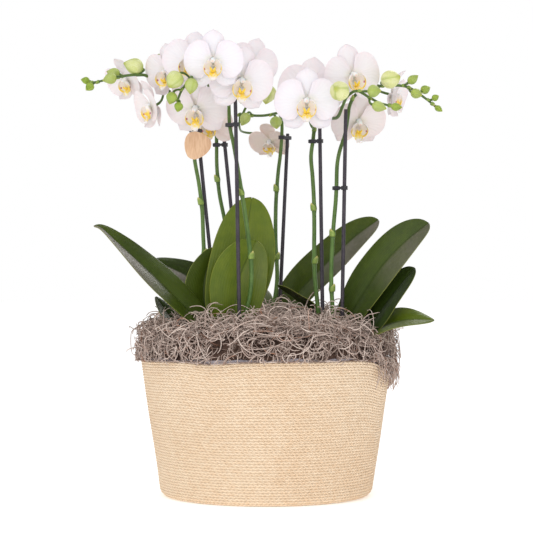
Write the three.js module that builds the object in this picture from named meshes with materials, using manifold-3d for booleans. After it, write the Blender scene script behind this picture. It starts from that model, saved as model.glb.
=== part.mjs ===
// Moth orchids in a round rope basket.
// Millimetres, +Z up. The origin is the middle of the basket's underside, and the flowers face -Y.
// Three plants stand in nursery pots on a water reservoir, with curled moss laid over the pots.

import * as THREE from 'three';
import { mergeVertices } from 'three/addons/utils/BufferGeometryUtils.js';
import Module from 'manifold-3d';

const wasm = await Module();
wasm.setup();

// Clearance between pieces that rest on or in each other
const GAP = 0.3;

// Basket: a flared shell of wound rope
const BASKET_HEIGHT = 124;
const BASKET_TOP_RADIUS = 113;
const BASKET_BOTTOM_RADIUS = 95;
const BASKET_WALL = 4.2;
const BASKET_FLOOR = 4;
const BASKET_CORNER = 8;
const BASKET_SIDES = 22;
const ROPE_ROWS = 8;
const ROPE_RELIEF = 1.3;

// The rim is uneven: angle in degrees from +X, depth, and half spread in degrees
const RIM_DIPS = [
  { at: -115, depth: 2, spread: 12 },
  { at: 180, depth: 3, spread: 40 },
  { at: -17, depth: 9, spread: 14 },
];
const DIP_START_HEIGHT = 30;

// Liner: a film that stands a little proud of the rim
const LINER_THICKNESS = 0.8;
const LINER_PROUD = 3;

// Water reservoir: a tray with a pedestal under each pot
const TRAY_RADIUS = 88;
const TRAY_FLOOR = 2;
const TRAY_RIM_HEIGHT = 27;
const TRAY_WALL = 1.6;
const TRAY_SIDES = 16;
const TRAY_BOTTOM = BASKET_FLOOR + LINER_THICKNESS + 2 * GAP;
const PEDESTAL_RADIUS = 26;
const PEDESTAL_HEIGHT = 29.4;
const PEDESTAL_SIDES = 8;

// Pots: 90 mm across, in a triangle
const POT_CIRCLE = 53;
const POT_RADIUS = 45;
const POT_FOOT_RADIUS = 32;
const POT_TOP = 120;
const POT_WALL = 1.2;
const POT_LIP = 6;
const POT_DRAIN_RADIUS = 6;
const POT_BOTTOM = PEDESTAL_HEIGHT + GAP;
const POT_SIDES = 12;

// Bark filling and the moss that covers the pots
const BARK_TOP = 117;
const BARK_CROWN = 2;
const MOSS_BOTTOM = POT_TOP + GAP;
const MOSS_EDGE_RADIUS = 120;
const MOSS_EDGE_TOP = 147;
const MOSS_MIDDLE_TOP = 159;
const MOSS_OVER_RIM = BASKET_HEIGHT + LINER_PROUD + 1;
const MOSS_SIDES = 18;
const MOSS_HOLLOW_RADII = [15, 30];
const MOSS_ARCHES = 6;
const CURL_RADIUS = 1.4;

// Curls of moss that hang over the rim: degrees from +X, and how far each hangs down
const MOSS_HANGS = [
  { at: -100, drop: 5 }, { at: -70, drop: 12 }, { at: -50, drop: 26 }, { at: -33, drop: 32 },
  { at: -14, drop: 27 }, { at: 35, drop: 4 }, { at: 90, drop: 7 }, { at: 140, drop: 4 },
  { at: 182, drop: 9 },
];

// Plant crowns: short stems that stand in the bark
const CROWN_BOTTOM = 112;
const CROWN_TOP = 152;
const CROWN_RADII = [6.5, 8.5, 8, 4.5];
const CROWN_SIDES = 6;

// Sticks, flower stems and the clips that join them
const STICK_RADIUS = 1.7;
const STICK_SIDES = 6;
const STEM_RADIUS = 1.9;
const STEM_TIP_RADIUS = 0.9;
const STEM_SIDES = 5;
const JOINT_SWELL = 0.8;
const JOINT_HALF_LENGTH = 3.5;
const STALK_RADIUS = 0.95;
const STALK_SIDES = 3;
const BRANCH_RADIUS = 1.2;
const BRANCH_STEPS = 6;
const BUD_STATIONS = [0.02, 0.28, 0.7, 0.98];
const CLIP_WIDTH = 7.4;
const CLIP_LENGTH = 13.6;
const CLIP_HEIGHT = 3.4;

// Tag at the left clip
const TAG_SIZE = 24;
const TAG_THICKNESS = 0.8;
const TAG_PLACE = [-62.4, -10.4, 313];

// Leaves and petals
const LEAF_RIB_THICKNESS = 2.2;
const LEAF_EDGE_THICKNESS = 0.9;
const LEAF_FOLD = 0.22;
const LEAF_ROWS = [0, 0.18, 0.42, 0.68, 0.88, 1];
const PETAL_THICKNESS = 0.85;

// A bloom's sepals and petals, in shares of its radius: where they start, their forms, and their angles
const TEPAL_ROOT = 0.1;
const SEPAL = {
  length: 0.98, halfWidth: 0.4, base: 0.18, peak: 0.55, depth: -0.03, reflex: 0.05, hollow: 0.08,
  rows: [0, 0.32, 0.72, 1], columns: [-1, 1],
};
const PETAL = {
  length: 1, halfWidth: 0.62, base: 0.15, peak: 0.56, depth: 0.08, reflex: 0.07, hollow: -0.05,
  rows: [0, 0.28, 0.58, 0.85, 1], columns: [-1, 0, 1],
};
const SEPAL_ANGLES = [90, -48, -132];
const PETAL_ANGLES = [9, 171];

// The lip: side lobes that stand up beside the column, and a middle lobe that points forwards and down
const LIP_ROWS = [
  { u: 0, half: 0.06, y: -0.06, z: 0.17, raise: 0 },
  { u: 0.35, half: 0.28, y: -0.16, z: 0.26, raise: 0.26 },
  { u: 0.5, half: 0.12, y: -0.24, z: 0.34, raise: 0.02 },
  { u: 0.8, half: 0.25, y: -0.42, z: 0.4, raise: -0.03 },
  { u: 1, half: 0.06, y: -0.58, z: 0.3, raise: 0 },
];

// The column, from the hub behind the petals to its tip above the lip: points and radii
const HUB_BACK = 0.12;
const COLUMN_POINTS = [[0, -0.02, -HUB_BACK], [0, -0.02, 0.1], [0, 0.02, 0.34]];
const COLUMN_RADII = [0.15, 0.18, 0.14, 0.08];

const FULL_TURN = 2 * Math.PI;
const DEGREE = Math.PI / 180;

// Plants, seen from the front. Leaves: points along the midrib from the crown out, full width, and the
// way that the upper side looks.
const PLANTS = [
  {
    name: 'left',
    potAngle: -140,
    crown: [-36, -38],
    leaves: [
      { ribs: [[-37, -32, 142], [-30, -27, 175], [-22, -20, 207], [-17, -13, 240], [-13, -8, 267]],
        width: 58, up: [0, -1, 0.15] },
      { ribs: [[-34, -42, 148], [-28, -44, 170], [-23, -42, 198], [-9, -38, 228]],
        width: 50, up: [0.05, -1, 0.1] },
      { ribs: [[-38, -40, 138], [-62, -48, 160], [-98, -56, 196], [-128, -60, 224], [-146, -62, 240]],
        width: 44, up: [0.55, -0.5, 0.65] },
      { ribs: [[-42, -34, 138], [-54, -28, 165], [-56, -24, 190], [-47, -19, 222]],
        width: 40, up: [0.3, -0.9, 0.2] },
      { ribs: [[-42, -36, 128], [-62, -28, 140], [-84, -20, 158], [-99, -14, 178]],
        width: 36, up: [0.4, -0.5, 0.75] },
    ],
  },
  {
    name: 'back',
    potAngle: 100,
    crown: [-8, 50],
    leaves: [
      { ribs: [[-2, 56, 140], [14, 62, 160], [34, 60, 185], [60, 56, 212], [84, 52, 234], [104, 48, 248]],
        width: 42, up: [-0.35, -0.75, 0.5] },
      { ribs: [[-18, 58, 145], [-40, 58, 172], [-70, 52, 194], [-105, 42, 211]],
        width: 40, up: [0, -0.7, 0.7] },
      { ribs: [[-8, 58, 138], [-14, 84, 165], [-20, 112, 180], [-24, 136, 178]],
        width: 44, up: [0, -0.4, 0.9] },
    ],
  },
  {
    name: 'right',
    potAngle: -20,
    crown: [62, -20],
    leaves: [
      { ribs: [[66, -24, 146], [80, -32, 172], [104, -38, 208], [128, -40, 232], [143, -40, 243]],
        width: 42, up: [-0.45, -0.75, 0.45] },
      { ribs: [[68, -26, 136], [88, -36, 150], [108, -42, 176], [130, -44, 204]],
        width: 36, up: [-0.5, -0.6, 0.6] },
      { ribs: [[70, -22, 130], [94, -40, 148], [122, -52, 158], [146, -56, 158]],
        width: 38, up: [-0.1, -0.5, 0.85] },
      { ribs: [[66, -12, 138], [80, 0, 158], [94, 14, 172], [104, 34, 180]],
        width: 36, up: [-0.2, -0.5, 0.85] },
      { ribs: [[58, -12, 142], [44, -4, 160], [24, -4, 178], [10, -8, 188]],
        width: 34, up: [0.35, 0.2, 0.9] },
    ],
  },
];

// Flower sprays. Each has its plant, its stick from foot to top, the height of its clip, its stem from the
// crown to the tip, the heights of the stem's joints, its side branches, and its closed buds:
// centre, length, width, the way the tip points, and the place on the stem that the stalk leaves.
const SPRAYS = [
  {
    name: 'a',
    plant: 'left',
    stick: [[-36, -10, 75], [-62.3, -1.5, 332]],
    clipHeight: 327,
    stem: [
      [-38, -32, 132], [-42, -17, 150], [-48, -14.5, 175], [-52, -12, 190], [-55, -9, 205],
      [-56.6, -8, 230.5], [-57.6, -8, 254.7], [-60.5, -8, 279], [-64.4, -8, 301], [-66, -8, 325.5],
      [-68.5, -9, 343.4], [-77.5, -10, 354], [-84.7, -12, 360], [-95.4, -16, 366.7], [-104, -22, 373],
      [-109, -26, 374.8], [-122, -30, 374], [-134, -28, 372], [-146.5, -26, 369.4], [-154.6, -25, 368],
    ],
    joints: [214, 262],
    branches: [],
    buds: [
      { at: [-117.6, -26, 382.5], size: [18, 15], tip: [-1, -0.2, 0.3], from: [-114, -27.5, 374.6] },
      { at: [-136, -20, 377], size: [12.5, 9.5], tip: [-1, 0.2, 0.25], from: [-127, -29, 373.2] },
      { at: [-138, -35.5, 370.5], size: [12.5, 10], tip: [-1, -0.2, -0.3], from: [-130, -28.6, 372.6] },
      { at: [-160.5, -25, 370], size: [8, 6.5], tip: [-1, 0, 0.2], from: [-153.5, -25, 368.2] },
      { at: [-156.6, -28, 364], size: [8.5, 8], tip: [-0.7, -0.2, -0.7], from: [-150, -25.7, 368.9] },
    ],
  },
  {
    name: 'b',
    plant: 'back',
    stick: [[-14, 46, 75], [-42.6, 38, 358]],
    clipHeight: 317,
    stem: [
      [-14, 50, 138], [-22, 52, 160], [-29, 51, 185], [-34, 50, 215], [-38.5, 47, 246.5],
      [-43.5, 44, 272.3], [-45.8, 42.5, 298], [-46, 41.5, 317], [-46.6, 41, 335.3], [-50, 36, 353.7],
      [-54, 24, 375], [-59, 4, 384], [-65, -16, 386], [-76, -24, 388], [-88, -26, 386],
    ],
    joints: [222, 284],
    branches: [],
    buds: [
      { at: [-94, -22, 391], size: [9, 7], tip: [-0.9, 0.2, 0.4], from: [-85, -25.7, 386.8] },
      { at: [-95, -20, 380], size: [8, 6], tip: [-0.9, 0.2, -0.3], from: [-86, -25.8, 386.5] },
    ],
  },
  {
    name: 'c',
    plant: 'left',
    stick: [[-22, -61, 75], [-27, -65, 352]],
    clipHeight: 328,
    stem: [
      [-33, -45, 136], [-22, -54, 155], [-15, -57, 177], [-13, -58, 200], [-15, -58, 223.7],
      [-18.5, -58, 249.7], [-24, -58, 284.4], [-28.5, -58, 310.5], [-32, -58, 327.8], [-33, -55, 347.8],
      [-35.5, -57, 362], [-41, -68, 370], [-50, -73.5, 373.5], [-60, -76.5, 371.5], [-67, -80, 364],
      [-73, -83, 355], [-76, -84, 347],
    ],
    joints: [212, 268],
    branches: [],
    buds: [
      { at: [-78.4, -93, 363.5], size: [17, 15.3], tip: [-0.5, -0.5, -0.7], from: [-65, -79, 366.4] },
      { at: [-64, -94, 358.5], size: [14, 11.5], tip: [-0.1, -0.3, -1], from: [-67.5, -80.3, 363.3] },
      { at: [-81, -89, 348.6], size: [11, 9.8], tip: [-0.3, -0.3, -1], from: [-72.5, -82.8, 356] },
      { at: [-75, -89, 341], size: [8.5, 7.8], tip: [-0.2, -0.2, -1], from: [-75.7, -83.9, 348] },
    ],
  },
  {
    name: 'd',
    plant: 'back',
    stick: [[8, 48, 75], [19.6, 49, 328]],
    clipHeight: 324,
    stem: [
      [2, 46, 138], [6, 44, 165], [9.7, 44, 192.5], [8.4, 43, 230.4], [8.8, 43, 265.5],
      [11, 42, 294], [12.5, 42, 305.6], [14, 42, 323.7], [14, 42, 339.4], [11.4, 42, 348.7],
      [8, 38, 362], [2, 20, 374], [-4, 4, 378],
    ],
    joints: [212, 276],
    branches: [
      [[12, 42, 347], [-2.3, 39, 344], [-14, 38, 344], [-24.5, 38, 345]],
      [[-22, 38, 344.8], [-19, 37, 351], [-13.4, 34, 357]],
    ],
    buds: [
      { at: [1, 12, 361], size: [18, 16], tip: [-0.2, -0.3, -1], from: [0, 15, 375.5] },
      { at: [8.7, 33, 337], size: [12, 11], tip: [0.1, -0.4, -1], from: [4, 40.2, 345] },
      { at: [-19.8, 30, 340], size: [13, 9.8], tip: [-0.5, -0.2, -1], from: [-14, 38, 344] },
      { at: [-22, 33, 358], size: [9, 8], tip: [-0.8, -0.3, 0.4], from: [-15, 34.8, 355.8] },
    ],
  },
  {
    name: 'e',
    plant: 'right',
    stick: [[51, -27, 75], [47, -28, 338]],
    clipHeight: 316,
    stem: [
      [56, -22, 136], [47, -22, 160], [44.8, -22, 177], [43, -23, 195.7], [42.3, -24, 220],
      [42.4, -24, 240.5], [42, -24, 265.3], [40.8, -24, 285.7], [39.5, -24, 302], [41.2, -24, 316.3],
      [44, -20, 330], [54, -24, 336], [62, -40, 336], [66, -60, 344], [70, -73, 352],
      [77.7, -80, 355.6], [88.8, -80, 349.6], [97.4, -79, 345.3], [107.7, -78, 342.7],
    ],
    joints: [208, 254],
    branches: [],
    buds: [
      { at: [62, -88, 355], size: [20, 17], tip: [-0.35, -1, 0.1], from: [70.5, -73.5, 352.2] },
      { at: [92, -86, 355], size: [12, 11], tip: [0.9, -0.4, 0], from: [80, -80.3, 354.8] },
      { at: [96, -88, 341.5], size: [13, 9.3], tip: [0.9, -0.3, -0.3], from: [88, -80, 350] },
      { at: [111.5, -78.5, 342], size: [9.5, 7], tip: [1, 0, -0.1], from: [104, -78.6, 343.4] },
    ],
  },
  {
    name: 'f',
    plant: 'right',
    stick: [[65, -36, 75], [69.6, -43, 343]],
    clipHeight: 274,
    stem: [
      [66, -28, 136], [60, -33, 155], [58, -36, 172.8], [57, -37, 195.3], [57.6, -37, 217.8],
      [59, -37, 240.2], [61, -36, 262.7], [61.6, -36, 274], [62.5, -34, 296.2], [64.8, -33, 307.6],
      [69.2, -31, 321.2], [72, -30, 337], [73.6, -29, 347.3], [78, -29, 356], [86.8, -30, 362.3],
      [95.6, -30, 364], [117.6, -30, 365], [126.4, -30, 363], [139.6, -30, 354.3], [148.4, -30, 347.3],
    ],
    joints: [184, 232],
    branches: [],
    buds: [
      { at: [109, -47, 369], size: [20, 16], tip: [0.75, -0.75, 0.15], from: [104, -30, 364.4] },
      { at: [129, -35, 370], size: [11, 8], tip: [0.8, -0.3, 0.6], from: [121, -30.3, 364.4] },
      { at: [132, -39, 357], size: [12, 9], tip: [0.7, -0.7, -0.3], from: [125, -30, 363.3] },
      { at: [141, -25, 362], size: [10, 8], tip: [0.8, 0.4, 0.4], from: [134, -30, 358.3] },
      { at: [149, -34, 354], size: [7, 6], tip: [0.7, -0.5, 0.4], from: [143, -30, 351.8] },
      { at: [152, -31, 344.5], size: [8, 5.5], tip: [0.8, -0.1, -0.6], from: [146, -30, 349.4] },
    ],
  },
];

// Open blooms: centre, width across, the way that they face (degrees to the right and up), roll towards
// the left, how far they are cupped, the spray that carries them, and the points of their stalk from the
// stem on.
const BLOOMS = [
  { at: [-45.2, -90.5, 379.8], across: 52, face: [-3, -8], roll: 0, cup: 0, spray: 'c',
    stalk: [[-39, -64, 367.5]] },
  { at: [-22, -74, 364.7], across: 58, face: [12, -12], roll: -5, cup: 0, spray: 'c',
    stalk: [[-33.6, -54.2, 352]] },
  { at: [-87, -36, 376], across: 49, face: [-35, -10], roll: 0, cup: 0.05, spray: 'a',
    stalk: [[-81, -11, 357]] },
  { at: [-61.5, -41, 344], across: 56, face: [-15, -25], roll: 0, cup: 0, spray: 'a',
    stalk: [[-69.5, -9, 346]] },
  { at: [-125, 4, 374], across: 44, face: [-45, -30], roll: 0, cup: 0.35, spray: 'a',
    stalk: [[-104, -22, 373], [-103, -8, 376]] },
  { at: [-101, -30, 347], across: 46, face: [-62, -15], roll: 0, cup: 0.3, spray: 'a',
    stalk: [[-92, -14.7, 364.6]] },
  { at: [-50.5, 14, 336], across: 48, face: [-25, -25], roll: 0, cup: 0.1, spray: 'b',
    stalk: [[-46.5, 41, 334]] },
  { at: [-66, -61, 382.8], across: 51, face: [-10, -5], roll: -13, cup: 0, spray: 'b',
    stalk: [[-65, -16, 386]] },
  { at: [3.3, 66, 322.8], across: 40, face: [-20, -40], roll: 0, cup: 0.2, spray: 'd',
    stalk: [[-24, 38, 345], [-25, 52, 334], [-21, 72, 331], [-8, 79, 330]] },
  { at: [35, -64, 347.6], across: 57, face: [-3, -5], roll: 0, cup: 0, spray: 'e',
    stalk: [[43, -21.5, 326], [38.5, -40, 331]] },
  { at: [39, -38, 360], across: 60, face: [5, 8], roll: -8, cup: 0, spray: 'e',
    stalk: [[45, -20, 331.5]] },
  { at: [75, -46, 372], across: 54, face: [20, -5], roll: 12, cup: 0, spray: 'f',
    stalk: [[76, -29, 353]] },
  { at: [82, -5, 335.5], across: 52, face: [15, -30], roll: 0, cup: 0.1, spray: 'f',
    stalk: [[86.8, -30, 362.3], [87, -14, 366], [86, 4, 352]] },
  { at: [113, 5, 360], across: 46, face: [75, -15], roll: 0, cup: 0.4, spray: 'f',
    stalk: [[98, -30, 364.1]] },
  { at: [-12.8, -34, 384], across: 46, face: [5, 10], roll: -15, cup: 0.1, spray: 'd',
    stalk: [[-4, 4, 378]] },
];

function vector(numbers) {
  return new THREE.Vector3(...numbers);
}

function seededRandom(seed) {
  let state = seed;
  return () => {
    state = (state + 0x6d2b79f5) | 0;
    let mixed = Math.imul(state ^ (state >>> 15), 1 | state);
    mixed = (mixed + Math.imul(mixed ^ (mixed >>> 7), 61 | mixed)) ^ mixed;
    return ((mixed ^ (mixed >>> 14)) >>> 0) / 4294967296;
  };
}

// Six times the volume inside a triangle list, negative where the faces point inwards
function signedVolume(positions, triangles) {
  const a = new THREE.Vector3();
  const b = new THREE.Vector3();
  const c = new THREE.Vector3();
  let sum = 0;
  for (let k = 0; k < triangles.length; k += 3) {
    a.fromArray(positions, 3 * triangles[k]);
    b.fromArray(positions, 3 * triangles[k + 1]);
    c.fromArray(positions, 3 * triangles[k + 2]);
    sum += a.dot(b.cross(c));
  }
  return sum;
}

// A geometry as a solid: shared vertices merged, slivers of no width dropped, faces pointing outwards
function solidOf(geometry) {
  geometry.deleteAttribute('normal');
  geometry.deleteAttribute('uv');
  const merged = mergeVertices(geometry, 1e-4);
  const positions = merged.attributes.position.array;
  const indices = merged.index.array;
  let triangles = [];
  for (let k = 0; k < indices.length; k += 3) {
    const [a, b, c] = [indices[k], indices[k + 1], indices[k + 2]];
    if (a !== b && b !== c && c !== a) {
      triangles.push(a, b, c);
    }
  }
  if (signedVolume(positions, triangles) < 0) {
    triangles = triangles.reverse();
  }
  return new wasm.Manifold(new wasm.Mesh({
    numProp: 3,
    vertProperties: new Float32Array(positions),
    triVerts: new Uint32Array(triangles),
  }));
}

function geometryOf(solid) {
  const mesh = solid.getMesh();
  const geometry = new THREE.BufferGeometry();
  geometry.setAttribute('position', new THREE.BufferAttribute(mesh.vertProperties, 3));
  geometry.setIndex(new THREE.BufferAttribute(mesh.triVerts, 1));
  geometry.computeVertexNormals();
  return geometry;
}

function fused(solids) {
  return wasm.Manifold.union(solids);
}

// What is left of a solid beside its obstacles, without the scraps that come off it
function clearOf(solid, obstacles) {
  const rest = solid.subtract(fused(obstacles));
  return rest.decompose().reduce((most, body) => (body.volume() > most.volume() ? body : most));
}

// A skin of triangles over rings of points, with a fan over each end
function loft(rings) {
  const count = rings[0].length;
  const points = rings.flat();
  const triangles = [];
  for (let i = 0; i + 1 < rings.length; i += 1) {
    for (let k = 0; k < count; k += 1) {
      const next = (k + 1) % count;
      const [a, b] = [i * count + k, i * count + next];
      triangles.push(a, b, b + count, a, b + count, a + count);
    }
  }
  const last = (rings.length - 1) * count;
  const [start, end] = [points.length, points.length + 1];
  points.push(centreOf(rings[0]), centreOf(rings.at(-1)));
  for (let k = 0; k < count; k += 1) {
    const next = (k + 1) % count;
    triangles.push(start, next, k, end, last + k, last + next);
  }
  return skin(points, triangles);
}

function centreOf(ring) {
  const sum = ring.reduce((total, point) => total.add(point), new THREE.Vector3());
  return sum.divideScalar(ring.length);
}

function skin(points, triangles) {
  const geometry = new THREE.BufferGeometry().setFromPoints(points);
  geometry.setIndex(triangles);
  return geometry;
}

// A rod of changing radius along a curve. The ring is carried along without twisting.
function rod(curve, stations, radiusAt, sides) {
  const first = curve.getTangentAt(0);
  const side = new THREE.Vector3(0, 1, 0);
  if (Math.abs(first.y) > 0.9) {
    side.set(1, 0, 0);
  }
  const rings = stations.map((u) => {
    const tangent = curve.getTangentAt(u);
    side.addScaledVector(tangent, -side.dot(tangent)).normalize();
    const across = tangent.clone().cross(side);
    const centre = curve.getPointAt(u);
    return Array.from({ length: sides }, (_, k) => {
      const angle = (FULL_TURN * k) / sides;
      return centre.clone()
        .addScaledVector(side, radiusAt(u) * Math.cos(angle))
        .addScaledVector(across, radiusAt(u) * Math.sin(angle));
    });
  });
  return solidOf(loft(rings));
}

function evenSteps(count) {
  return Array.from({ length: count + 1 }, (_, k) => k / count);
}

// A thin closed blade over a grid of u, along it, and v, from -1 to 1 across it
function blade(pointAt, thicknessAt, uSteps, vSteps) {
  const small = 1e-3;
  const front = [];
  const back = [];
  for (const u of uSteps) {
    for (const v of vSteps) {
      const ahead = pointAt(Math.min(u + small, 1), v).sub(pointAt(Math.max(u - small, 0), v));
      const beside = pointAt(u, Math.min(v + small, 1)).sub(pointAt(u, Math.max(v - small, -1)));
      const half = ahead.cross(beside).setLength(thicknessAt(u, v) / 2);
      const middle = pointAt(u, v);
      front.push(middle.clone().add(half));
      back.push(middle.clone().sub(half));
    }
  }
  const across = vSteps.length;
  const under = front.length;
  const triangles = [];
  for (let i = 0; i + 1 < uSteps.length; i += 1) {
    for (let j = 0; j + 1 < across; j += 1) {
      const [a, b] = [i * across + j, (i + 1) * across + j];
      triangles.push(a, b, b + 1, a, b + 1, a + 1);
      triangles.push(under + a, under + b + 1, under + b, under + a, under + a + 1, under + b + 1);
    }
  }
  const rim = bladeRim(uSteps.length, across);
  rim.forEach((from, k) => {
    const to = rim[(k + 1) % rim.length];
    triangles.push(to, from, under + from, to, under + from, under + to);
  });
  return solidOf(skin([...front, ...back], triangles));
}

// The grid points round a blade's edge, in order
function bladeRim(rows, across) {
  const [lastRow, lastColumn] = [rows - 1, across - 1];
  const count = (length) => Array.from({ length }, (_, k) => k);
  return [
    ...count(lastRow).map((k) => k * across),
    ...count(lastColumn).map((k) => lastRow * across + k),
    ...count(lastRow).map((k) => (lastRow - k) * across + lastColumn),
    ...count(lastColumn).map((k) => lastColumn - k),
  ];
}

// Share of a blade's greatest half width at u: it widens from its base to the peak and then rounds off
function bladeShape(u, base, peak, roundness) {
  if (u < peak) {
    return base + (1 - base) * Math.sin((Math.PI / 2) * (u / peak));
  }
  const fall = (u - peak) / (1 - peak);
  return Math.sqrt(Math.max(1 - 0.97 * fall ** roundness, 0.01));
}

// A solid of revolution about Z from [radius, height] pairs
function turned(profile, sides) {
  const points = profile.map(([radius, height]) => new THREE.Vector2(radius, height));
  const geometry = new THREE.LatheGeometry(points, sides);
  geometry.rotateX(Math.PI / 2);
  return geometry;
}

function rimDip(x, y) {
  const angle = Math.atan2(y, x) / DEGREE;
  return RIM_DIPS.reduce((sum, dip) => {
    const off = ((angle - dip.at + 540) % 360) - 180;
    return sum + dip.depth * Math.exp(-((off / dip.spread) ** 2));
  }, 0);
}

// Lowers a geometry's vertices by the rim's dips, by the share that shareAt gives at each
function sink(geometry, shareAt) {
  const position = geometry.attributes.position;
  for (let k = 0; k < position.count; k += 1) {
    const [x, y, z] = [position.getX(k), position.getY(k), position.getZ(k)];
    position.setZ(k, z - rimDip(x, y) * THREE.MathUtils.clamp(shareAt(x, y, z), 0, 1));
  }
  return geometry;
}

function wallShare(x, y, z) {
  return (z - DIP_START_HEIGHT) / (BASKET_HEIGHT - DIP_START_HEIGHT);
}

function basketRadius(height) {
  return THREE.MathUtils.lerp(BASKET_BOTTOM_RADIUS, BASKET_TOP_RADIUS, height / BASKET_HEIGHT);
}

function basket() {
  const corner = BASKET_CORNER;
  const profile = [[0, 0], [basketRadius(0) - corner, 0], [basketRadius(2) - 0.3 * corner, 0.25 * corner]];
  const pitch = (BASKET_HEIGHT - corner) / ROPE_ROWS;
  for (let row = 0; row < ROPE_ROWS; row += 1) {
    const groove = corner + row * pitch;
    const ridge = groove + pitch / 2;
    profile.push([basketRadius(groove) - ROPE_RELIEF, groove], [basketRadius(ridge), ridge]);
  }
  const top = BASKET_HEIGHT;
  profile.push([basketRadius(top) - ROPE_RELIEF, top], [basketRadius(top) - BASKET_WALL, top]);
  const inner = innerProfile(BASKET_WALL, BASKET_FLOOR);
  profile.push(...inner.reverse());
  return solidOf(sink(turned(profile, BASKET_SIDES), wallShare));
}

// The inside of a shell that follows the basket's wall: from the middle of its floor to half way up
function innerProfile(inset, floor) {
  const rise = BASKET_CORNER + 4;
  return [
    [0, floor],
    [basketRadius(floor) - inset - BASKET_CORNER, floor],
    [basketRadius(rise) - inset, rise],
    [basketRadius(BASKET_HEIGHT / 2) - inset, BASKET_HEIGHT / 2],
  ];
}

function liner() {
  const outside = BASKET_WALL + GAP;
  const inside = outside + LINER_THICKNESS;
  const top = BASKET_HEIGHT + LINER_PROUD;
  const profile = [
    ...innerProfile(inside, BASKET_FLOOR + GAP + LINER_THICKNESS),
    [basketRadius(BASKET_HEIGHT) - inside, BASKET_HEIGHT],
    [basketRadius(top) - inside, top],
    [basketRadius(top) - outside, top],
    [basketRadius(BASKET_HEIGHT) - outside, BASKET_HEIGHT],
    ...innerProfile(outside, BASKET_FLOOR + GAP).reverse(),
  ];
  return solidOf(sink(turned(profile, BASKET_SIDES), wallShare));
}

function potPlace(plant) {
  const angle = plant.potAngle * DEGREE;
  return new THREE.Vector3(POT_CIRCLE * Math.cos(angle), POT_CIRCLE * Math.sin(angle), 0);
}

function waterReservoir() {
  const floor = TRAY_BOTTOM + TRAY_FLOOR;
  const foot = TRAY_RADIUS - BASKET_CORNER;
  const tray = solidOf(turned([
    [0, TRAY_BOTTOM], [foot, TRAY_BOTTOM], [TRAY_RADIUS, TRAY_BOTTOM + BASKET_CORNER],
    [TRAY_RADIUS + 2, TRAY_RIM_HEIGHT], [TRAY_RADIUS + 2 - TRAY_WALL, TRAY_RIM_HEIGHT],
    [TRAY_RADIUS - TRAY_WALL, floor + BASKET_CORNER], [foot - TRAY_WALL, floor], [0, floor],
  ], TRAY_SIDES));
  const pedestals = PLANTS.map((plant) => {
    const sunk = TRAY_FLOOR / 2;
    const height = PEDESTAL_HEIGHT - floor + sunk;
    const radius = PEDESTAL_RADIUS;
    const cylinder = new THREE.CylinderGeometry(radius, radius + 2, height, PEDESTAL_SIDES);
    cylinder.rotateX(Math.PI / 2);
    const place = potPlace(plant);
    cylinder.translate(place.x, place.y, floor - sunk + height / 2);
    return solidOf(cylinder);
  });
  return fused([tray, ...pedestals]);
}

function pot() {
  const lipBottom = POT_TOP - POT_LIP;
  return solidOf(turned([
    [POT_DRAIN_RADIUS, POT_BOTTOM], [POT_FOOT_RADIUS, POT_BOTTOM],
    [POT_RADIUS - 2, lipBottom], [POT_RADIUS, lipBottom], [POT_RADIUS, POT_TOP],
    [POT_RADIUS - POT_WALL, POT_TOP], [POT_FOOT_RADIUS - POT_WALL, POT_BOTTOM + POT_WALL],
    [POT_DRAIN_RADIUS, POT_BOTTOM + POT_WALL], [POT_DRAIN_RADIUS, POT_BOTTOM],
  ], POT_SIDES));
}

// The bark fills its pot, and the crown and the sticks stand in plain holes in it
function bark(plant, holes) {
  const slack = POT_WALL + 2 * GAP;
  const geometry = turned([
    [0, POT_BOTTOM + slack], [POT_FOOT_RADIUS - slack, POT_BOTTOM + slack],
    [POT_RADIUS - slack - 1.6, BARK_TOP - 2], [POT_RADIUS / 2, BARK_TOP + BARK_CROWN / 2],
    [0, BARK_TOP + BARK_CROWN],
  ], POT_SIDES);
  const place = potPlace(plant);
  geometry.translate(place.x, place.y, 0);
  return clearOf(solidOf(geometry), holes);
}

function crown(plant, grow) {
  const [x, y] = plant.crown;
  const path = new THREE.LineCurve3(
    new THREE.Vector3(x, y, CROWN_BOTTOM - grow),
    new THREE.Vector3(x, y, CROWN_TOP + grow),
  );
  const last = CROWN_RADII.length - 1;
  return rod(path, evenSteps(last), (u) => CROWN_RADII[Math.round(u * last)] + grow, CROWN_SIDES);
}

function stick(spray, grow) {
  const [foot, top] = spray.stick.map(vector);
  const reach = top.clone().sub(foot).setLength(grow);
  const path = new THREE.LineCurve3(foot.sub(reach), top.add(reach));
  return rod(path, [0, 1], () => STICK_RADIUS + grow, STICK_SIDES);
}

function stemCurve(spray) {
  return new THREE.CatmullRomCurve3(spray.stem.map(vector), false, 'centripetal');
}

// Where a stem's rings stand along its curve, and the shares at which its joints are
function stemStations(spray, curve) {
  const joints = spray.joints.map((height) => shareAtHeight(curve, height));
  const near = JOINT_HALF_LENGTH / curve.getLength();
  const stations = evenSteps(11).filter((u) => joints.every((joint) => Math.abs(u - joint) > 2 * near));
  joints.forEach((joint) => stations.push(joint - near, joint, joint + near));
  return { joints, near, stations: stations.sort((a, b) => a - b) };
}

// The main stem, thinner towards its tip, with a swollen ring at each joint
function stem(spray, grow) {
  const curve = stemCurve(spray);
  const { joints, near, stations } = stemStations(spray, curve);
  const radiusAt = (u) => {
    const taper = THREE.MathUtils.lerp(STEM_RADIUS, STEM_TIP_RADIUS, u ** 2);
    const swell = joints.some((joint) => Math.abs(u - joint) < near / 2) ? JOINT_SWELL : 0;
    return taper + swell + grow;
  };
  return rod(curve, stations, radiusAt, STEM_SIDES);
}

// The share of a rising curve's length at which it first reaches a height
function shareAtHeight(curve, height) {
  return evenSteps(400).find((share) => curve.getPointAt(share).z >= height);
}

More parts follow.
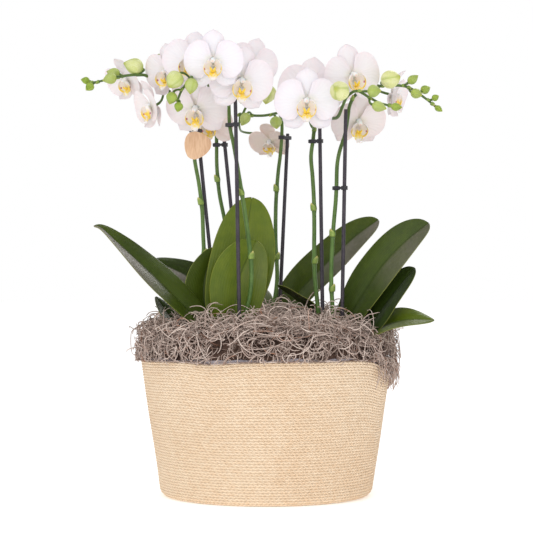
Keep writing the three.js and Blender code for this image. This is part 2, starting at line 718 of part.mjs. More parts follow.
// The straight stretches of a spray's stem and side branches, which stalks grow from
function spraySupports(spray) {
  const curve = stemCurve(spray);
  const paths = [
    stemStations(spray, curve).stations.map((u) => curve.getPointAt(u)),
    ...spray.branches.map((points) => {
      const path = branchCurve(points);
      return evenSteps(BRANCH_STEPS).map((u) => path.getPointAt(u));
    }),
  ];
  return paths.flatMap((points) => points.slice(1).map((end, k) => new THREE.Line3(points[k], end)));
}

// The place on the supports that is nearest to a point
function rooted(point, supports) {
  const places = supports.map((line) => line.closestPointToPoint(point, true, new THREE.Vector3()));
  return places.reduce((best, place) => (
    place.distanceTo(point) < best.distanceTo(point) ? place : best
  ));
}

// The path of a thin stalk that leaves the stem at one point and comes in along a direction at the other
function stalkPath(from, to, along) {
  const reach = 0.4 * from.distanceTo(to);
  return new THREE.QuadraticBezierCurve3(from, to.clone().addScaledVector(along, -reach), to);
}

// A closed bud on its stalk: plump near the stalk and pointed at its tip
function bud({ at, size, tip, from }, supports) {
  const [length, width] = size;
  const way = vector(tip).setLength(length / 2);
  const heel = vector(at).sub(way);
  const path = new THREE.CurvePath();
  path.add(stalkPath(rooted(vector(from), supports), heel, way.clone().normalize()));
  path.add(new THREE.LineCurve3(heel, vector(at).add(way)));
  const start = 1 - length / path.getLength();
  const stations = [0, start / 2, ...BUD_STATIONS.map((share) => start + share * (1 - start))];
  const radiusAt = (u) => {
    const share = Math.max((u - start) / (1 - start), 0);
    return Math.max((width / 2) * Math.sin(Math.PI * share ** 0.8) ** 0.7, STALK_RADIUS);
  };
  return rod(path, stations, radiusAt, length > 11 ? 5 : 4);
}

function bloomFace({ face }) {
  const [right, up] = face.map((angle) => angle * DEGREE);
  return new THREE.Vector3(
    Math.sin(right) * Math.cos(up),
    -Math.cos(right) * Math.cos(up),
    Math.sin(up),
  );
}

function bloomStalk(bloom, supports) {
  const way = bloomFace(bloom);
  const behind = (HUB_BACK * bloom.across) / 2 + GAP;
  const end = vector(bloom.at).addScaledVector(way, -behind);
  const [first, ...others] = bloom.stalk.map(vector);
  const root = rooted(first, supports);
  if (others.length === 0) {
    return rod(stalkPath(root, end, way), evenSteps(3), () => STALK_RADIUS, STALK_SIDES);
  }
  const before = end.clone().addScaledVector(way, -4);
  const path = new THREE.CatmullRomCurve3([root, ...others, before, end], false, 'centripetal');
  return rod(path, evenSteps(4), () => STALK_RADIUS, STALK_SIDES);
}

function branchCurve(points) {
  return new THREE.CatmullRomCurve3(points.map(vector), false, 'centripetal');
}

function branch(points) {
  return rod(branchCurve(points), evenSteps(BRANCH_STEPS), () => BRANCH_RADIUS, 4);
}

// A whole spray without its open blooms: stem, side branches, stalks and closed buds
function spraySolid(spray, obstacles) {
  const supports = spraySupports(spray);
  const carried = BLOOMS.filter((bloom) => bloom.spray === spray.name);
  const solid = fused([
    stem(spray, 0),
    ...spray.branches.map(branch),
    ...spray.buds.map((shape) => bud(shape, supports)),
    ...carried.map((bloom) => bloomStalk(bloom, supports)),
  ]);
  return clearOf(solid, obstacles);
}

// A leaf folded a little along its midrib
function leaf({ ribs, width, up }, grow) {
  const curve = new THREE.CatmullRomCurve3(ribs.map(vector), false, 'centripetal');
  const facing = vector(up).normalize();
  const pointAt = (u, v) => {
    const tangent = curve.getTangentAt(u);
    const across = tangent.clone().cross(facing).normalize();
    const lift = across.clone().cross(tangent);
    const half = (width / 2) * bladeShape(u, 0.42, 0.55, 2.4) + grow;
    return curve.getPointAt(u)
      .addScaledVector(tangent, grow * (2 * u - 1))
      .addScaledVector(across, v * half)
      .addScaledVector(lift, LEAF_FOLD * Math.abs(v) * half);
  };
  const thicknessAt = (u, v) => (
    THREE.MathUtils.lerp(LEAF_RIB_THICKNESS, LEAF_EDGE_THICKNESS, Math.abs(v)) + 2 * grow
  );
  return blade(pointAt, thicknessAt, LEAF_ROWS, [-1, 0, 1]);
}

// One sepal or petal in the bloom's own frame: X right, Y up, Z the way that it faces
function tepal(form, angle, radius, cup) {
  const { length, halfWidth, base, peak, depth, reflex, hollow, rows, columns } = form;
  const [cos, sin] = [Math.cos(angle * DEGREE), Math.sin(angle * DEGREE)];
  const pointAt = (u, v) => {
    const reach = radius * (TEPAL_ROOT + (length - TEPAL_ROOT) * u * (1 - 0.05 * v * v * u));
    const side = radius * halfWidth * bladeShape(u, base, peak, 2.2) * v;
    const height = radius * (depth + (cup - reflex) * u * u - hollow * v * v * u);
    return new THREE.Vector3(cos * reach - sin * side, sin * reach + cos * side, height);
  };
  return blade(pointAt, () => PETAL_THICKNESS, rows, columns);
}

function lip(radius) {
  const pointAt = (u, v) => {
    const next = Math.max(LIP_ROWS.findIndex((row) => row.u >= u), 1);
    const [from, to] = [LIP_ROWS[next - 1], LIP_ROWS[next]];
    const share = (u - from.u) / (to.u - from.u);
    const between = (key) => radius * THREE.MathUtils.lerp(from[key], to[key], share);
    return new THREE.Vector3(v * between('half'), between('y') + v * v * between('raise'), between('z'));
  };
  return blade(pointAt, () => PETAL_THICKNESS, LIP_ROWS.map((row) => row.u), [-1, 0, 1]);
}

// The column and the hub that all the parts of a bloom grow from
function column(radius) {
  const points = COLUMN_POINTS.map((point) => vector(point).multiplyScalar(radius));
  const path = new THREE.CatmullRomCurve3(points);
  return rod(path, evenSteps(3), (u) => radius * COLUMN_RADII[Math.round(3 * u)], 4);
}

function bloomSolid({ across, cup }) {
  const radius = across / 2;
  const sepals = SEPAL_ANGLES.map((angle) => tepal(SEPAL, angle, radius, cup));
  const petals = PETAL_ANGLES.map((angle) => tepal(PETAL, angle, radius, cup));
  return fused([...sepals, ...petals, lip(radius), column(radius)]);
}

// A flat plate of an outline, with so many segments to each of its curves
function plate(outline, depth, curveSegments) {
  return new THREE.ExtrudeGeometry(outline, { depth, bevelEnabled: false, curveSegments });
}

// A clip's bar with rounded ends, and holes for the stick and the stem that it holds together
function clip(spray) {
  const [foot, top] = spray.stick.map(vector);
  const share = (spray.clipHeight - foot.z) / (top.z - foot.z);
  const onStick = foot.clone().lerp(top, share);
  const curve = stemCurve(spray);
  const onStem = curve.getPointAt(shareAtHeight(curve, spray.clipHeight));
  const turn = Math.atan2(onStem.y - onStick.y, onStem.x - onStick.x);
  const radius = CLIP_WIDTH / 2;
  const half = CLIP_LENGTH / 2 - radius;
  const outline = new THREE.Shape();
  outline.absarc(half, 0, radius, -Math.PI / 2, Math.PI / 2, false);
  outline.absarc(-half, 0, radius, Math.PI / 2, 1.5 * Math.PI, false);
  const bar = plate(outline, CLIP_HEIGHT, 2);
  bar.rotateZ(turn);
  const middle = onStick.add(onStem).divideScalar(2);
  bar.translate(middle.x, middle.y, spray.clipHeight - CLIP_HEIGHT / 2);
  return clearOf(solidOf(bar), [stick(spray, GAP), stem(spray, GAP)]);
}

// A flat tag with a round top and a blunt point below, hung at the left clip in front of its stem
function tag() {
  const half = TAG_SIZE / 2;
  const outline = new THREE.Shape();
  outline.moveTo(-0.3 * half, -half);
  outline.quadraticCurveTo(0, -1.12 * half, 0.3 * half, -half);
  outline.bezierCurveTo(0.8 * half, -0.6 * half, half, -0.1 * half, half, 0.25 * half);
  outline.bezierCurveTo(half, 0.85 * half, 0.5 * half, half, 0, half);
  outline.bezierCurveTo(-0.5 * half, half, -half, 0.85 * half, -half, 0.25 * half);
  outline.bezierCurveTo(-half, -0.1 * half, -0.8 * half, -0.6 * half, -0.3 * half, -half);
  return plate(outline, TAG_THICKNESS, 4).rotateX(Math.PI / 2);
}

function mossHeight(radius) {
  return THREE.MathUtils.lerp(MOSS_MIDDLE_TOP, MOSS_EDGE_TOP, Math.min(radius / MOSS_EDGE_RADIUS, 1) ** 2);
}

// The moss: an uneven mound that overhangs the rim, with curls on it whose ends are sunk in it
function moss(obstacles) {
  const random = seededRandom(7);
  const within = (low, high) => THREE.MathUtils.lerp(low, high, random());
  const arches = Array.from({ length: MOSS_ARCHES }, (_, k) => mossCurl({
    angle: FULL_TURN * (k / MOSS_ARCHES + within(0, 0.02)),
    radius: 46 + 50 * ((k * 0.618) % 1) ** 0.6,
    turn: within(0, FULL_TURN),
    halfSpan: within(8, 17),
    rise: within(8, 14),
    outwards: 0,
  }));
  const hangs = MOSS_HANGS.map(({ at, drop }) => mossCurl({
    angle: at * DEGREE,
    radius: 110,
    turn: (at + 90) * DEGREE,
    halfSpan: within(9, 17),
    rise: -drop,
    outwards: 15,
  }));
  return clearOf(fused([mossMound(within), ...arches, ...hangs]), obstacles);
}

// Rings of the mound: radius, height, and how uneven they are. The first two are the foot inside the liner.
function mossMound(within) {
  const edge = MOSS_EDGE_RADIUS;
  const rows = [
    [96, MOSS_BOTTOM, 0], [104, MOSS_BOTTOM, 0], [105, MOSS_OVER_RIM, 0], [114, MOSS_OVER_RIM + 0.6, 0],
    [edge - 1, MOSS_EDGE_TOP - 10, 3], [edge - 5, mossHeight(edge - 5), 2], [70, mossHeight(70), 3],
  ];
  const rings = rows.map(([radius, height, uneven]) => Array.from({ length: MOSS_SIDES }, (_, k) => {
    const angle = (FULL_TURN * k) / MOSS_SIDES;
    const reach = radius + within(-uneven, uneven);
    return new THREE.Vector3(
      reach * Math.cos(angle),
      reach * Math.sin(angle),
      height + within(-uneven, uneven),
    );
  }));
  return solidOf(sink(loft(rings), mossShare));
}

// The hollow in the moss round a plant's crown, wider at the top, which its leaves rise from
function hollow(plant) {
  const [x, y] = plant.crown;
  const path = new THREE.LineCurve3(
    new THREE.Vector3(x, y, MOSS_BOTTOM - 1),
    new THREE.Vector3(x, y, MOSS_MIDDLE_TOP + 6),
  );
  return rod(path, [0, 1], (u) => THREE.MathUtils.lerp(...MOSS_HOLLOW_RADII, u), 9);
}

// The share of the rim's dips that the moss follows: all of it outside the liner, and none inside
function mossShare(x, y) {
  return THREE.MathUtils.clamp((Math.hypot(x, y) - 104) / 4, 0, 1);
}

// One curl: it leaves the moss, arches over or hangs out over the rim, and goes back in
function mossCurl({ angle, radius, turn, halfSpan, rise, outwards }) {
  const middle = new THREE.Vector3(radius * Math.cos(angle), radius * Math.sin(angle), 0);
  const apart = new THREE.Vector3(Math.cos(turn), Math.sin(turn), 0).multiplyScalar(halfSpan);
  const points = [-1, -0.6, 0.6, 1].map((share) => {
    const high = Math.abs(share) < 1;
    const point = middle.clone().addScaledVector(apart, share);
    point.setLength(high ? point.length() + outwards : Math.min(point.length(), 112));
    point.z = mossHeight(radius) + (high ? rise : -4);
    point.z -= rimDip(point.x, point.y) * mossShare(point.x, point.y);
    return point;
  });
  const curve = new THREE.CatmullRomCurve3(points, false, 'centripetal');
  return rod(curve, evenSteps(4), () => CURL_RADIUS, 3);
}

const finishes = {
  rope: new THREE.MeshStandardMaterial({ color: 0xe8cda0, roughness: 0.9, metalness: 0 }),
  film: new THREE.MeshStandardMaterial({ color: 0xb4aeb0, roughness: 0.45, metalness: 0 }),
  blackPlastic: new THREE.MeshStandardMaterial({ color: 0x1b1b1f, roughness: 0.5, metalness: 0 }),
  potPlastic: new THREE.MeshStandardMaterial({ color: 0xc9cfcb, roughness: 0.3, metalness: 0 }),
  bark: new THREE.MeshStandardMaterial({ color: 0x5a3d28, roughness: 0.95, metalness: 0 }),
  moss: new THREE.MeshStandardMaterial({ color: 0xa39282, roughness: 0.95, metalness: 0 }),
  leafGreen: new THREE.MeshStandardMaterial({ color: 0x3f6a2e, roughness: 0.4, metalness: 0 }),
  stemGreen: new THREE.MeshStandardMaterial({ color: 0x6f8f3c, roughness: 0.5, metalness: 0 }),
  petalWhite: new THREE.MeshStandardMaterial({ color: 0xf6f1f2, roughness: 0.55, metalness: 0 }),
  stickBlack: new THREE.MeshStandardMaterial({ color: 0x1a161e, roughness: 0.55, metalness: 0 }),
  tagBoard: new THREE.MeshStandardMaterial({ color: 0xe3b596, roughness: 0.8, metalness: 0 }),
};

function node(name, geometry, finish) {
  const mesh = new THREE.Mesh(geometry, finishes[finish]);
  mesh.name = name;
  return mesh;
}

function solidNode(name, solid, finish) {
  return node(name, geometryOf(solid), finish);
}

const model = new THREE.Group();
model.add(solidNode('basket', basket(), 'rope'));
model.add(solidNode('liner', liner(), 'film'));
model.add(solidNode('water_reservoir', waterReservoir(), 'blackPlastic'));

// Whatever pierces the moss, a clearance larger than its true size
const mossHoles = [];

for (const plant of PLANTS) {
  const crownHole = crown(plant, GAP);
  const own = SPRAYS.filter((spray) => spray.plant === plant.name);
  const sticks = own.map((spray) => stick(spray, GAP));
  const barkHoles = [crownHole, ...sticks];
  const potNode = solidNode(`${plant.name}_pot`, pot(), 'potPlastic');
  potNode.position.copy(potPlace(plant));
  model.add(potNode);
  model.add(solidNode(`${plant.name}_bark`, bark(plant, barkHoles), 'bark'));
  model.add(solidNode(`${plant.name}_crown`, crown(plant, 0), 'stemGreen'));

  const inTheWay = [crownHole, ...sticks, ...own.map((spray) => stem(spray, GAP))];
  plant.leaves.forEach((shape, k) => {
    model.add(solidNode(`${plant.name}_leaf_${k + 1}`, clearOf(leaf(shape, 0), inTheWay), 'leafGreen'));
    inTheWay.push(leaf(shape, GAP));
  });
  mossHoles.push(hollow(plant), ...inTheWay);
}

for (const spray of SPRAYS) {
  const plant = PLANTS.find(({ name }) => name === spray.plant);
  model.add(solidNode(`stick_${spray.name}`, stick(spray, 0), 'stickBlack'));
  model.add(solidNode(`spray_${spray.name}`, spraySolid(spray, [crown(plant, GAP)]), 'stemGreen'));
  model.add(solidNode(`clip_${spray.name}`, clip(spray), 'blackPlastic'));
}

BLOOMS.forEach((bloom, k) => {
  const mesh = solidNode(`bloom_${k + 1}`, bloomSolid(bloom), 'petalWhite');
  const facing = bloomFace(bloom);
  const up = new THREE.Vector3(0, 0, 1).addScaledVector(facing, -facing.z).normalize();
  const right = up.clone().cross(facing);
  mesh.quaternion.setFromRotationMatrix(new THREE.Matrix4().makeBasis(right, up, facing));
  mesh.rotateZ(bloom.roll * DEGREE);
  mesh.position.copy(vector(bloom.at));
  model.add(mesh);
});

const tagNode = solidNode('tag', solidOf(tag()), 'tagBoard');
tagNode.position.set(...TAG_PLACE);
model.add(tagNode);

model.add(solidNode('moss', moss(mossHoles), 'moss'));

export default model;
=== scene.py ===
"""White moth orchids in a round rope basket: the finished pieces, their finishes, the light and the camera.

Metres, +Z up, and the flowers face -Y. The tables of places and sizes are in millimetres, as in the part.
"""
import math

import bpy
import numpy as np
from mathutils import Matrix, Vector


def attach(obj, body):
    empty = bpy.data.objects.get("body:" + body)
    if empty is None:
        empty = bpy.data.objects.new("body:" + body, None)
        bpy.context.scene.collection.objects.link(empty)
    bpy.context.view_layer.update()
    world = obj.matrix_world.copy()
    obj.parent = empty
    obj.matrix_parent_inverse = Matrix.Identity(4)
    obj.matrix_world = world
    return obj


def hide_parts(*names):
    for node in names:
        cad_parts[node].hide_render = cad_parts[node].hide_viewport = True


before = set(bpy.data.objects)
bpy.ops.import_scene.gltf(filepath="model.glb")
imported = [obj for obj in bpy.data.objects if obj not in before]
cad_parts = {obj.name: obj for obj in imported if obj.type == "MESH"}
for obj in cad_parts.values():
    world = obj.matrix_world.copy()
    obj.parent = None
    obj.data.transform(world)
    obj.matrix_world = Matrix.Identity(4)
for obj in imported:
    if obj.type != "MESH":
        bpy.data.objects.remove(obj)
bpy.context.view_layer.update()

MM = 0.001
TURN = 2 * math.pi

# Camera: level with the middle of the plants, at the distance that the picture was taken from
CAMERA_DISTANCE = 1.7
CAMERA_HEIGHT = 0.205
VIEW_WIDTH = 0.4797
SENSOR = 36.0

# Light from all round, as a share of the white ground
WORLD_LIGHT = 0.68

# Basket: a flared shell wound with cord, four steps to each row of it
BASKET_HEIGHT = 124
BASKET_TOP_RADIUS = 113
BASKET_BOTTOM_RADIUS = 95
BASKET_WALL = 4.2
BASKET_FLOOR = 4
BASKET_CORNER = 7
BASKET_WALL_FROM = 80
BASKET_COLUMNS = 256
ROPE_ROWS = 50
ROPE_RELIEF = 0.75
ROPE_STEPS = (0.0, 0.72, 1.0, 0.72)
TWISTS_ROUND = 152
RIM_DIPS = ((-115, 2, 12), (180, 3, 40), (-17, 9, 14))
DIP_START = 30

# Film liner
LINER_INSET = 4.7
LINER_PROUD = 1.8
LINER_THICKNESS = 0.25
LINER_COLUMNS = 320

# Moss: the mound, and the strands that cover it. Shares run from the mound's middle, 0, to its foot, 1.
BROW_SHARE = 0.7
MOSS_EDGE = 114
MOSS_BROW = 100
MOSS_EDGE_TOP = 147
MOSS_MIDDLE_TOP = 159
MOSS_FOOT = 124.6
MOSS_REACH = 113
MOSS_BED_DEPTH = 5
STRAND_STEPS = 12
STRAND_PIECES = 3
STRANDS_EACH = 1780
LYING_SHARE = 0.965
HANGING_SHARE = 0.035
ON_TOP_SHARE = 0.55
STANDING_SHARE = 0.09
TUFT_SHARE = 0.5
TUFT_ANGLE = -0.3

# Leaves: points along the midrib from the crown out, full width, the way that the upper side looks, how
# round the tip is, how pale the green is, and the half that gets a painted grey sheen and how much
LEAVES = {
    "left_leaf_1": (
        [(-37, -32, 142), (-30, -27, 175), (-22, -20, 207), (-17, -13, 240), (-13, -8, 267)],
        58, (0, -1, 0.15), 2.0, 0.95, 0),
    "left_leaf_2": (
        [(-34, -42, 148), (-28, -44, 170), (-23, -42, 198), (-9, -38, 228)],
        50, (0.05, -1, 0.1), 1.9, 1.0, 0.15),
    "left_leaf_3": (
        [(-38, -40, 138), (-62, -48, 160), (-98, -56, 196), (-128, -60, 224), (-145, -62, 239),
         (-150, -62, 240)],
        44, (0.55, -0.5, 0.65), 1.3, 0.3, -0.95),
    "left_leaf_4": (
        [(-42, -34, 138), (-54, -28, 165), (-56, -24, 190), (-47, -19, 222)],
        38, (0.3, -0.9, 0.2), 1.6, 0.3, 0),
    "left_leaf_5": (
        [(-42, -36, 128), (-62, -28, 140), (-84, -20, 158), (-99, -14, 178)],
        36, (0.4, -0.5, 0.75), 1.3, 0.05, -0.3),
    "back_leaf_1": (
        [(-2, 56, 140), (14, 62, 160), (34, 60, 185), (60, 56, 212), (84, 52, 234), (104, 48, 248)],
        42, (-0.35, -0.75, 0.5), 2.4, 0.4, 0.75),
    "back_leaf_2": (
        [(-18, 58, 145), (-40, 58, 172), (-70, 52, 194), (-105, 42, 211)],
        40, (0, -0.7, 0.7), 1.5, 0.15, -0.85),
    "back_leaf_3": (
        [(-8, 58, 138), (-14, 84, 165), (-20, 112, 180), (-24, 136, 178)],
        44, (0, -0.4, 0.9), 1.8, 0.4, 0.3),
    "right_leaf_1": (
        [(66, -24, 146), (80, -32, 172), (104, -38, 208), (128, -40, 232), (143, -40, 243)],
        42, (-0.45, -0.75, 0.45), 2.6, 0.28, 0.5),
    "right_leaf_2": (
        [(68, -26, 136), (88, -36, 150), (108, -42, 176), (130, -44, 204)],
        36, (-0.5, -0.6, 0.6), 2.2, 0.05, 0),
    "right_leaf_3": (
        [(70, -22, 130), (94, -40, 148), (122, -52, 158), (146, -56, 158)],
        38, (-0.1, -0.5, 0.85), 1.5, 0.7, 0.2),
    "right_leaf_4": (
        [(66, -12, 138), (80, 0, 158), (94, 14, 172), (104, 34, 180)],
        36, (-0.2, -0.5, 0.85), 1.9, 0.4, 0.3),
    "right_leaf_5": (
        [(58, -12, 142), (44, -4, 160), (24, -4, 178), (10, -8, 188)],
        34, (0.35, 0.2, 0.9), 1.6, 0.05, 0.2),
}
LEAF_FOLD = 0.22
LEAF_THICKNESS = 1.9

# Flower sprays: stem points, heights of its joints, side branches, and closed buds as centre, length,
# width, the way the tip points, and the place that the stalk leaves from
SPRAYS = {
    "a": {
        "stick": [(-36, -10, 75), (-62.3, -1.5, 332)],
        "clip": 327,
        "stem": [
            (-38, -32, 132), (-42, -17, 150), (-48, -14.5, 175), (-52, -12, 190), (-55, -9, 205),
            (-56.6, -8, 230.5), (-57.6, -8, 254.7), (-60.5, -8, 279), (-64.4, -8, 301), (-66, -8, 325.5),
            (-68.5, -9, 343.4), (-77.5, -10, 354), (-84.7, -12, 360), (-95.4, -16, 366.7),
            (-104, -22, 373), (-109, -26, 374.8), (-122, -30, 374), (-134, -28, 372),
            (-146.5, -26, 369.4), (-154.6, -25, 368),
        ],
        "joints": [214, 262],
        "branches": [],
        "buds": [((-117.6, -26, 382.5), 18, 15, (-1, -0.2, 0.3), (-114, -27.5, 374.6)),
                 ((-136, -20, 377), 12.5, 9.5, (-1, 0.2, 0.25), (-127, -29, 373.2)),
                 ((-138, -35.5, 370.5), 12.5, 10, (-1, -0.2, -0.3), (-130, -28.6, 372.6)),
                 ((-160.5, -25, 370), 8, 6.5, (-1, 0, 0.2), (-153.5, -25, 368.2)),
                 ((-156.6, -28, 364), 8.5, 8, (-0.7, -0.2, -0.7), (-150, -25.7, 368.9))],
    },
    "b": {
        "stick": [(-14, 46, 75), (-42.6, 38, 358)],
        "clip": 317,
        "stem": [
            (-14, 50, 138), (-22, 52, 160), (-29, 51, 185), (-34, 50, 215), (-38.5, 47, 246.5),
            (-43.5, 44, 272.3), (-45.8, 42.5, 298), (-46, 41.5, 317), (-46.6, 41, 335.3),
            (-50, 36, 353.7), (-54, 24, 375), (-59, 4, 384), (-65, -16, 386), (-76, -24, 388),
            (-88, -26, 386),
        ],
        "joints": [222, 284],
        "branches": [],
        "buds": [((-94, -22, 391), 9, 7, (-0.9, 0.2, 0.4), (-85, -25.7, 386.8)),
                 ((-95, -20, 380), 8, 6, (-0.9, 0.2, -0.3), (-86, -25.8, 386.5))],
    },
    "c": {
        "stick": [(-22, -61, 75), (-27, -65, 352)],
        "clip": 328,
        "stem": [
            (-33, -45, 136), (-22, -54, 155), (-15, -57, 177), (-13, -58, 200), (-15, -58, 223.7),
            (-18.5, -58, 249.7), (-24, -58, 284.4), (-28.5, -58, 310.5), (-32, -58, 327.8),
            (-33, -55, 347.8), (-35.5, -57, 362), (-41, -68, 370), (-50, -73.5, 373.5),
            (-60, -76.5, 371.5), (-67, -80, 364), (-73, -83, 355), (-76, -84, 347),
        ],
        "joints": [212, 268],
        "branches": [],
        "buds": [((-78.4, -93, 363.5), 17, 15.3, (-0.5, -0.5, -0.7), (-65, -79, 366.4)),
                 ((-64, -94, 358.5), 14, 11.5, (-0.1, -0.3, -1), (-67.5, -80.3, 363.3)),
                 ((-81, -89, 348.6), 11, 9.8, (-0.3, -0.3, -1), (-72.5, -82.8, 356)),
                 ((-75, -89, 341), 8.5, 7.8, (-0.2, -0.2, -1), (-75.7, -83.9, 348))],
    },
    "d": {
        "stick": [(8, 48, 75), (19.6, 49, 328)],
        "clip": 324,
        "stem": [
            (2, 46, 138), (6, 44, 165), (9.7, 44, 192.5), (8.4, 43, 230.4), (8.8, 43, 265.5),
            (11, 42, 294), (12.5, 42, 305.6), (14, 42, 323.7), (14, 42, 339.4), (11.4, 42, 348.7),
            (8, 38, 362), (2, 20, 374), (-4, 4, 378),
        ],
        "joints": [212, 276],
        "branches": [[(12, 42, 347), (-2.3, 39, 344), (-14, 38, 344), (-24.5, 38, 345)],
                     [(-22, 38, 344.8), (-19, 37, 351), (-13.4, 34, 357)]],
        "buds": [((1, 12, 361), 18, 16, (-0.2, -0.3, -1), (0, 15, 375.5)),
                 ((8.7, 33, 337), 12, 11, (0.1, -0.4, -1), (4, 40.2, 345)),
                 ((-19.8, 30, 340), 13, 9.8, (-0.5, -0.2, -1), (-14, 38, 344)),
                 ((-22, 33, 358), 9, 8, (-0.8, -0.3, 0.4), (-15, 34.8, 355.8))],
    },
    "e": {
        "stick": [(51, -27, 75), (47, -28, 338)],
        "clip": 316,
        "stem": [
            (56, -22, 136), (47, -22, 160), (44.8, -22, 177), (43, -23, 195.7), (42.3, -24, 220),
            (42.4, -24, 240.5), (42, -24, 265.3), (40.8, -24, 285.7), (39.5, -24, 302),
            (41.2, -24, 316.3), (44, -20, 330), (54, -24, 336), (62, -40, 336), (66, -60, 344),
            (70, -73, 352), (77.7, -80, 355.6), (88.8, -80, 349.6), (97.4, -79, 345.3),
            (107.7, -78, 342.7),
        ],
        "joints": [208, 254],
        "branches": [],
        "buds": [((62, -88, 355), 20, 17, (-0.35, -1, 0.1), (70.5, -73.5, 352.2)),
                 ((92, -86, 355), 12, 11, (0.9, -0.4, 0), (80, -80.3, 354.8)),
                 ((96, -88, 341.5), 13, 9.3, (0.9, -0.3, -0.3), (88, -80, 350)),
                 ((111.5, -78.5, 342), 9.5, 7, (1, 0, -0.1), (104, -78.6, 343.4))],
    },
    "f": {
        "stick": [(65, -36, 75), (69.6, -43, 343)],
        "clip": 274,
        "stem": [
            (66, -28, 136), (60, -33, 155), (58, -36, 172.8), (57, -37, 195.3), (57.6, -37, 217.8),
            (59, -37, 240.2), (61, -36, 262.7), (61.6, -36, 274), (62.5, -34, 296.2), (64.8, -33, 307.6),
            (69.2, -31, 321.2), (72, -30, 337), (73.6, -29, 347.3), (78, -29, 356), (86.8, -30, 362.3),
            (95.6, -30, 364), (117.6, -30, 365), (126.4, -30, 363), (139.6, -30, 354.3),
            (148.4, -30, 347.3),
        ],
        "joints": [184, 232],
        "branches": [],
        "buds": [((109, -47, 369), 20, 16, (0.75, -0.75, 0.15), (104, -30, 364.4)),
                 ((129, -35, 370), 11, 8, (0.8, -0.3, 0.6), (121, -30.3, 364.4)),
                 ((132, -39, 357), 12, 9, (0.7, -0.7, -0.3), (125, -30, 363.3)),
                 ((141, -25, 362), 10, 8, (0.8, 0.4, 0.4), (134, -30, 358.3)),
                 ((149, -34, 354), 7, 6, (0.7, -0.5, 0.4), (143, -30, 351.8)),
                 ((152, -31, 344.5), 8, 5.5, (0.8, -0.1, -0.6), (146, -30, 349.4))],
    },
}
STEM_RADIUS = 1.9
STEM_TIP_RADIUS = 0.95
STALK_RADIUS = 0.95
BRANCH_RADIUS = 1.2
JOINT_SWELL = 0.75

# Bracts at the joints, under buds and under blooms: inner radius, where it isn't the stem's, and length
JOINT_BRACT_LENGTH = 7
BUD_BRACT = (1.4, 4)
BLOOM_BRACT = (1.7, 4.8)
STICK_RADIUS = 1.7

# Open blooms: centre, width across, the way they face (degrees right and up), roll to the left, how far
# they are cupped, how much painted shade turns their white cream, spray, and the points of their stalk from
# the stem on
BLOOMS = [
    ((-45.2, -90.5, 379.8), 52, (-3, -8), 0, 0, 0.0, "c", [(-39, -64, 367.5)]),
    ((-22, -74, 364.7), 58, (12, -12), -5, 0, 0.15, "c", [(-33.6, -54.2, 352)]),
    ((-87, -36, 376), 49, (-35, -10), 0, 0.05, 0.2, "a", [(-81, -11, 357)]),
    ((-61.5, -41, 344), 56, (-15, -25), 0, 0, 0.35, "a", [(-69.5, -9, 346)]),
    ((-125, 4, 374), 44, (-45, -30), 0, 0.35, 0.25, "a", [(-104, -22, 373), (-103, -8, 376)]),
    ((-101, -30, 347), 46, (-62, -15), 0, 0.3, 0.4, "a", [(-92, -14.7, 364.6)]),
    ((-50.5, 14, 336), 48, (-25, -25), 0, 0.1, 0.8, "b", [(-46.5, 41, 334)]),
    ((-66, -61, 382.8), 51, (-10, -5), -13, 0, 0.1, "b", [(-65, -16, 386)]),
    ((3.3, 66, 322.8), 40, (-20, -40), 0, 0.2, 1.0, "d",
     [(-24, 38, 345), (-25, 52, 334), (-21, 72, 331), (-8, 79, 330)]),
    ((35, -64, 347.6), 57, (-3, -5), 0, 0, 0.0, "e", [(43, -21.5, 326), (38.5, -40, 331)]),
    ((39, -38, 360), 60, (5, 8), -8, 0, 0.25, "e", [(45, -20, 331.5)]),
    ((75, -46, 372), 54, (20, -5), 12, 0, 0.2, "f", [(76, -29, 353)]),
    ((82, -5, 335.5), 52, (15, -30), 0, 0.1, 0.5, "f", [(86.8, -30, 362.3), (87, -14, 366), (86, 4, 352)]),
    ((113, 5, 360), 46, (75, -15), 0, 0.4, 0.3, "f", [(98, -30, 364.1)]),
    ((-12.8, -34, 384), 46, (5, 10), -15, 0.1, 0.2, "d", [(-4, 4, 378)]),
]

# A bloom's sepals, petals and lip, in shares of its radius. Petals fan out from the middle of the bloom.
TEPAL_ROOT = 0.08
SEPAL = {"half": 0.37, "base": 0.3, "peak": 0.58, "depth": -0.03, "reflex": 0.05, "hollow": 0.08}
PETAL = {"spread": math.radians(66), "depth": 0.07, "reflex": 0.07, "hollow": 0.06}
SEPAL_ANGLES = (90, -48, -132)
PETAL_ANGLES = (9, 171)
HUB_BACK = 0.12
LIP_MIDDLE = -0.2

# Thickness of petals, of the lip's side lobes and of bracts, in millimetres
PETAL_THICKNESS = 0.55
LOBE_THICKNESS = 0.5
BRACT_THICKNESS = 0.3

# Clips: the play and size of their collars, and the width, depth and height of the bar and of its end lugs
COLLAR_PLAY = 0.1
COLLAR_WALL = 1.1
COLLAR_HEIGHT = 3.4
CLIP_BAR = (12.6, 1.3, 2.2)
CLIP_BAR_OUT = 2.8
CLIP_LUG = (1.5, 3.0, 3.2)
CLIP_LUG_OUT = 1.6
CLIP_LUG_ALONG = 6.1

# Tag
TAG_SIZE = 24
TAG_THICKNESS = 0.8
TAG_PLACE = (-62.4, -10.4, 313)
TAG_TURN = math.radians(25)

# Floor, with its radius in metres
FLOOR_RADIUS = 9
FLOOR_GLOW = 0.3


def camera():
    data = bpy.data.cameras.new("camera")
    data.sensor_width = SENSOR
    data.lens = SENSOR * CAMERA_DISTANCE / VIEW_WIDTH
    eye = bpy.data.objects.new("camera", data)
    eye.location = (0, -CAMERA_DISTANCE, CAMERA_HEIGHT)
    eye.rotation_euler = (math.pi / 2, 0, 0)
    bpy.context.scene.collection.objects.link(eye)
    bpy.context.scene.camera = eye


# Vectors and paths


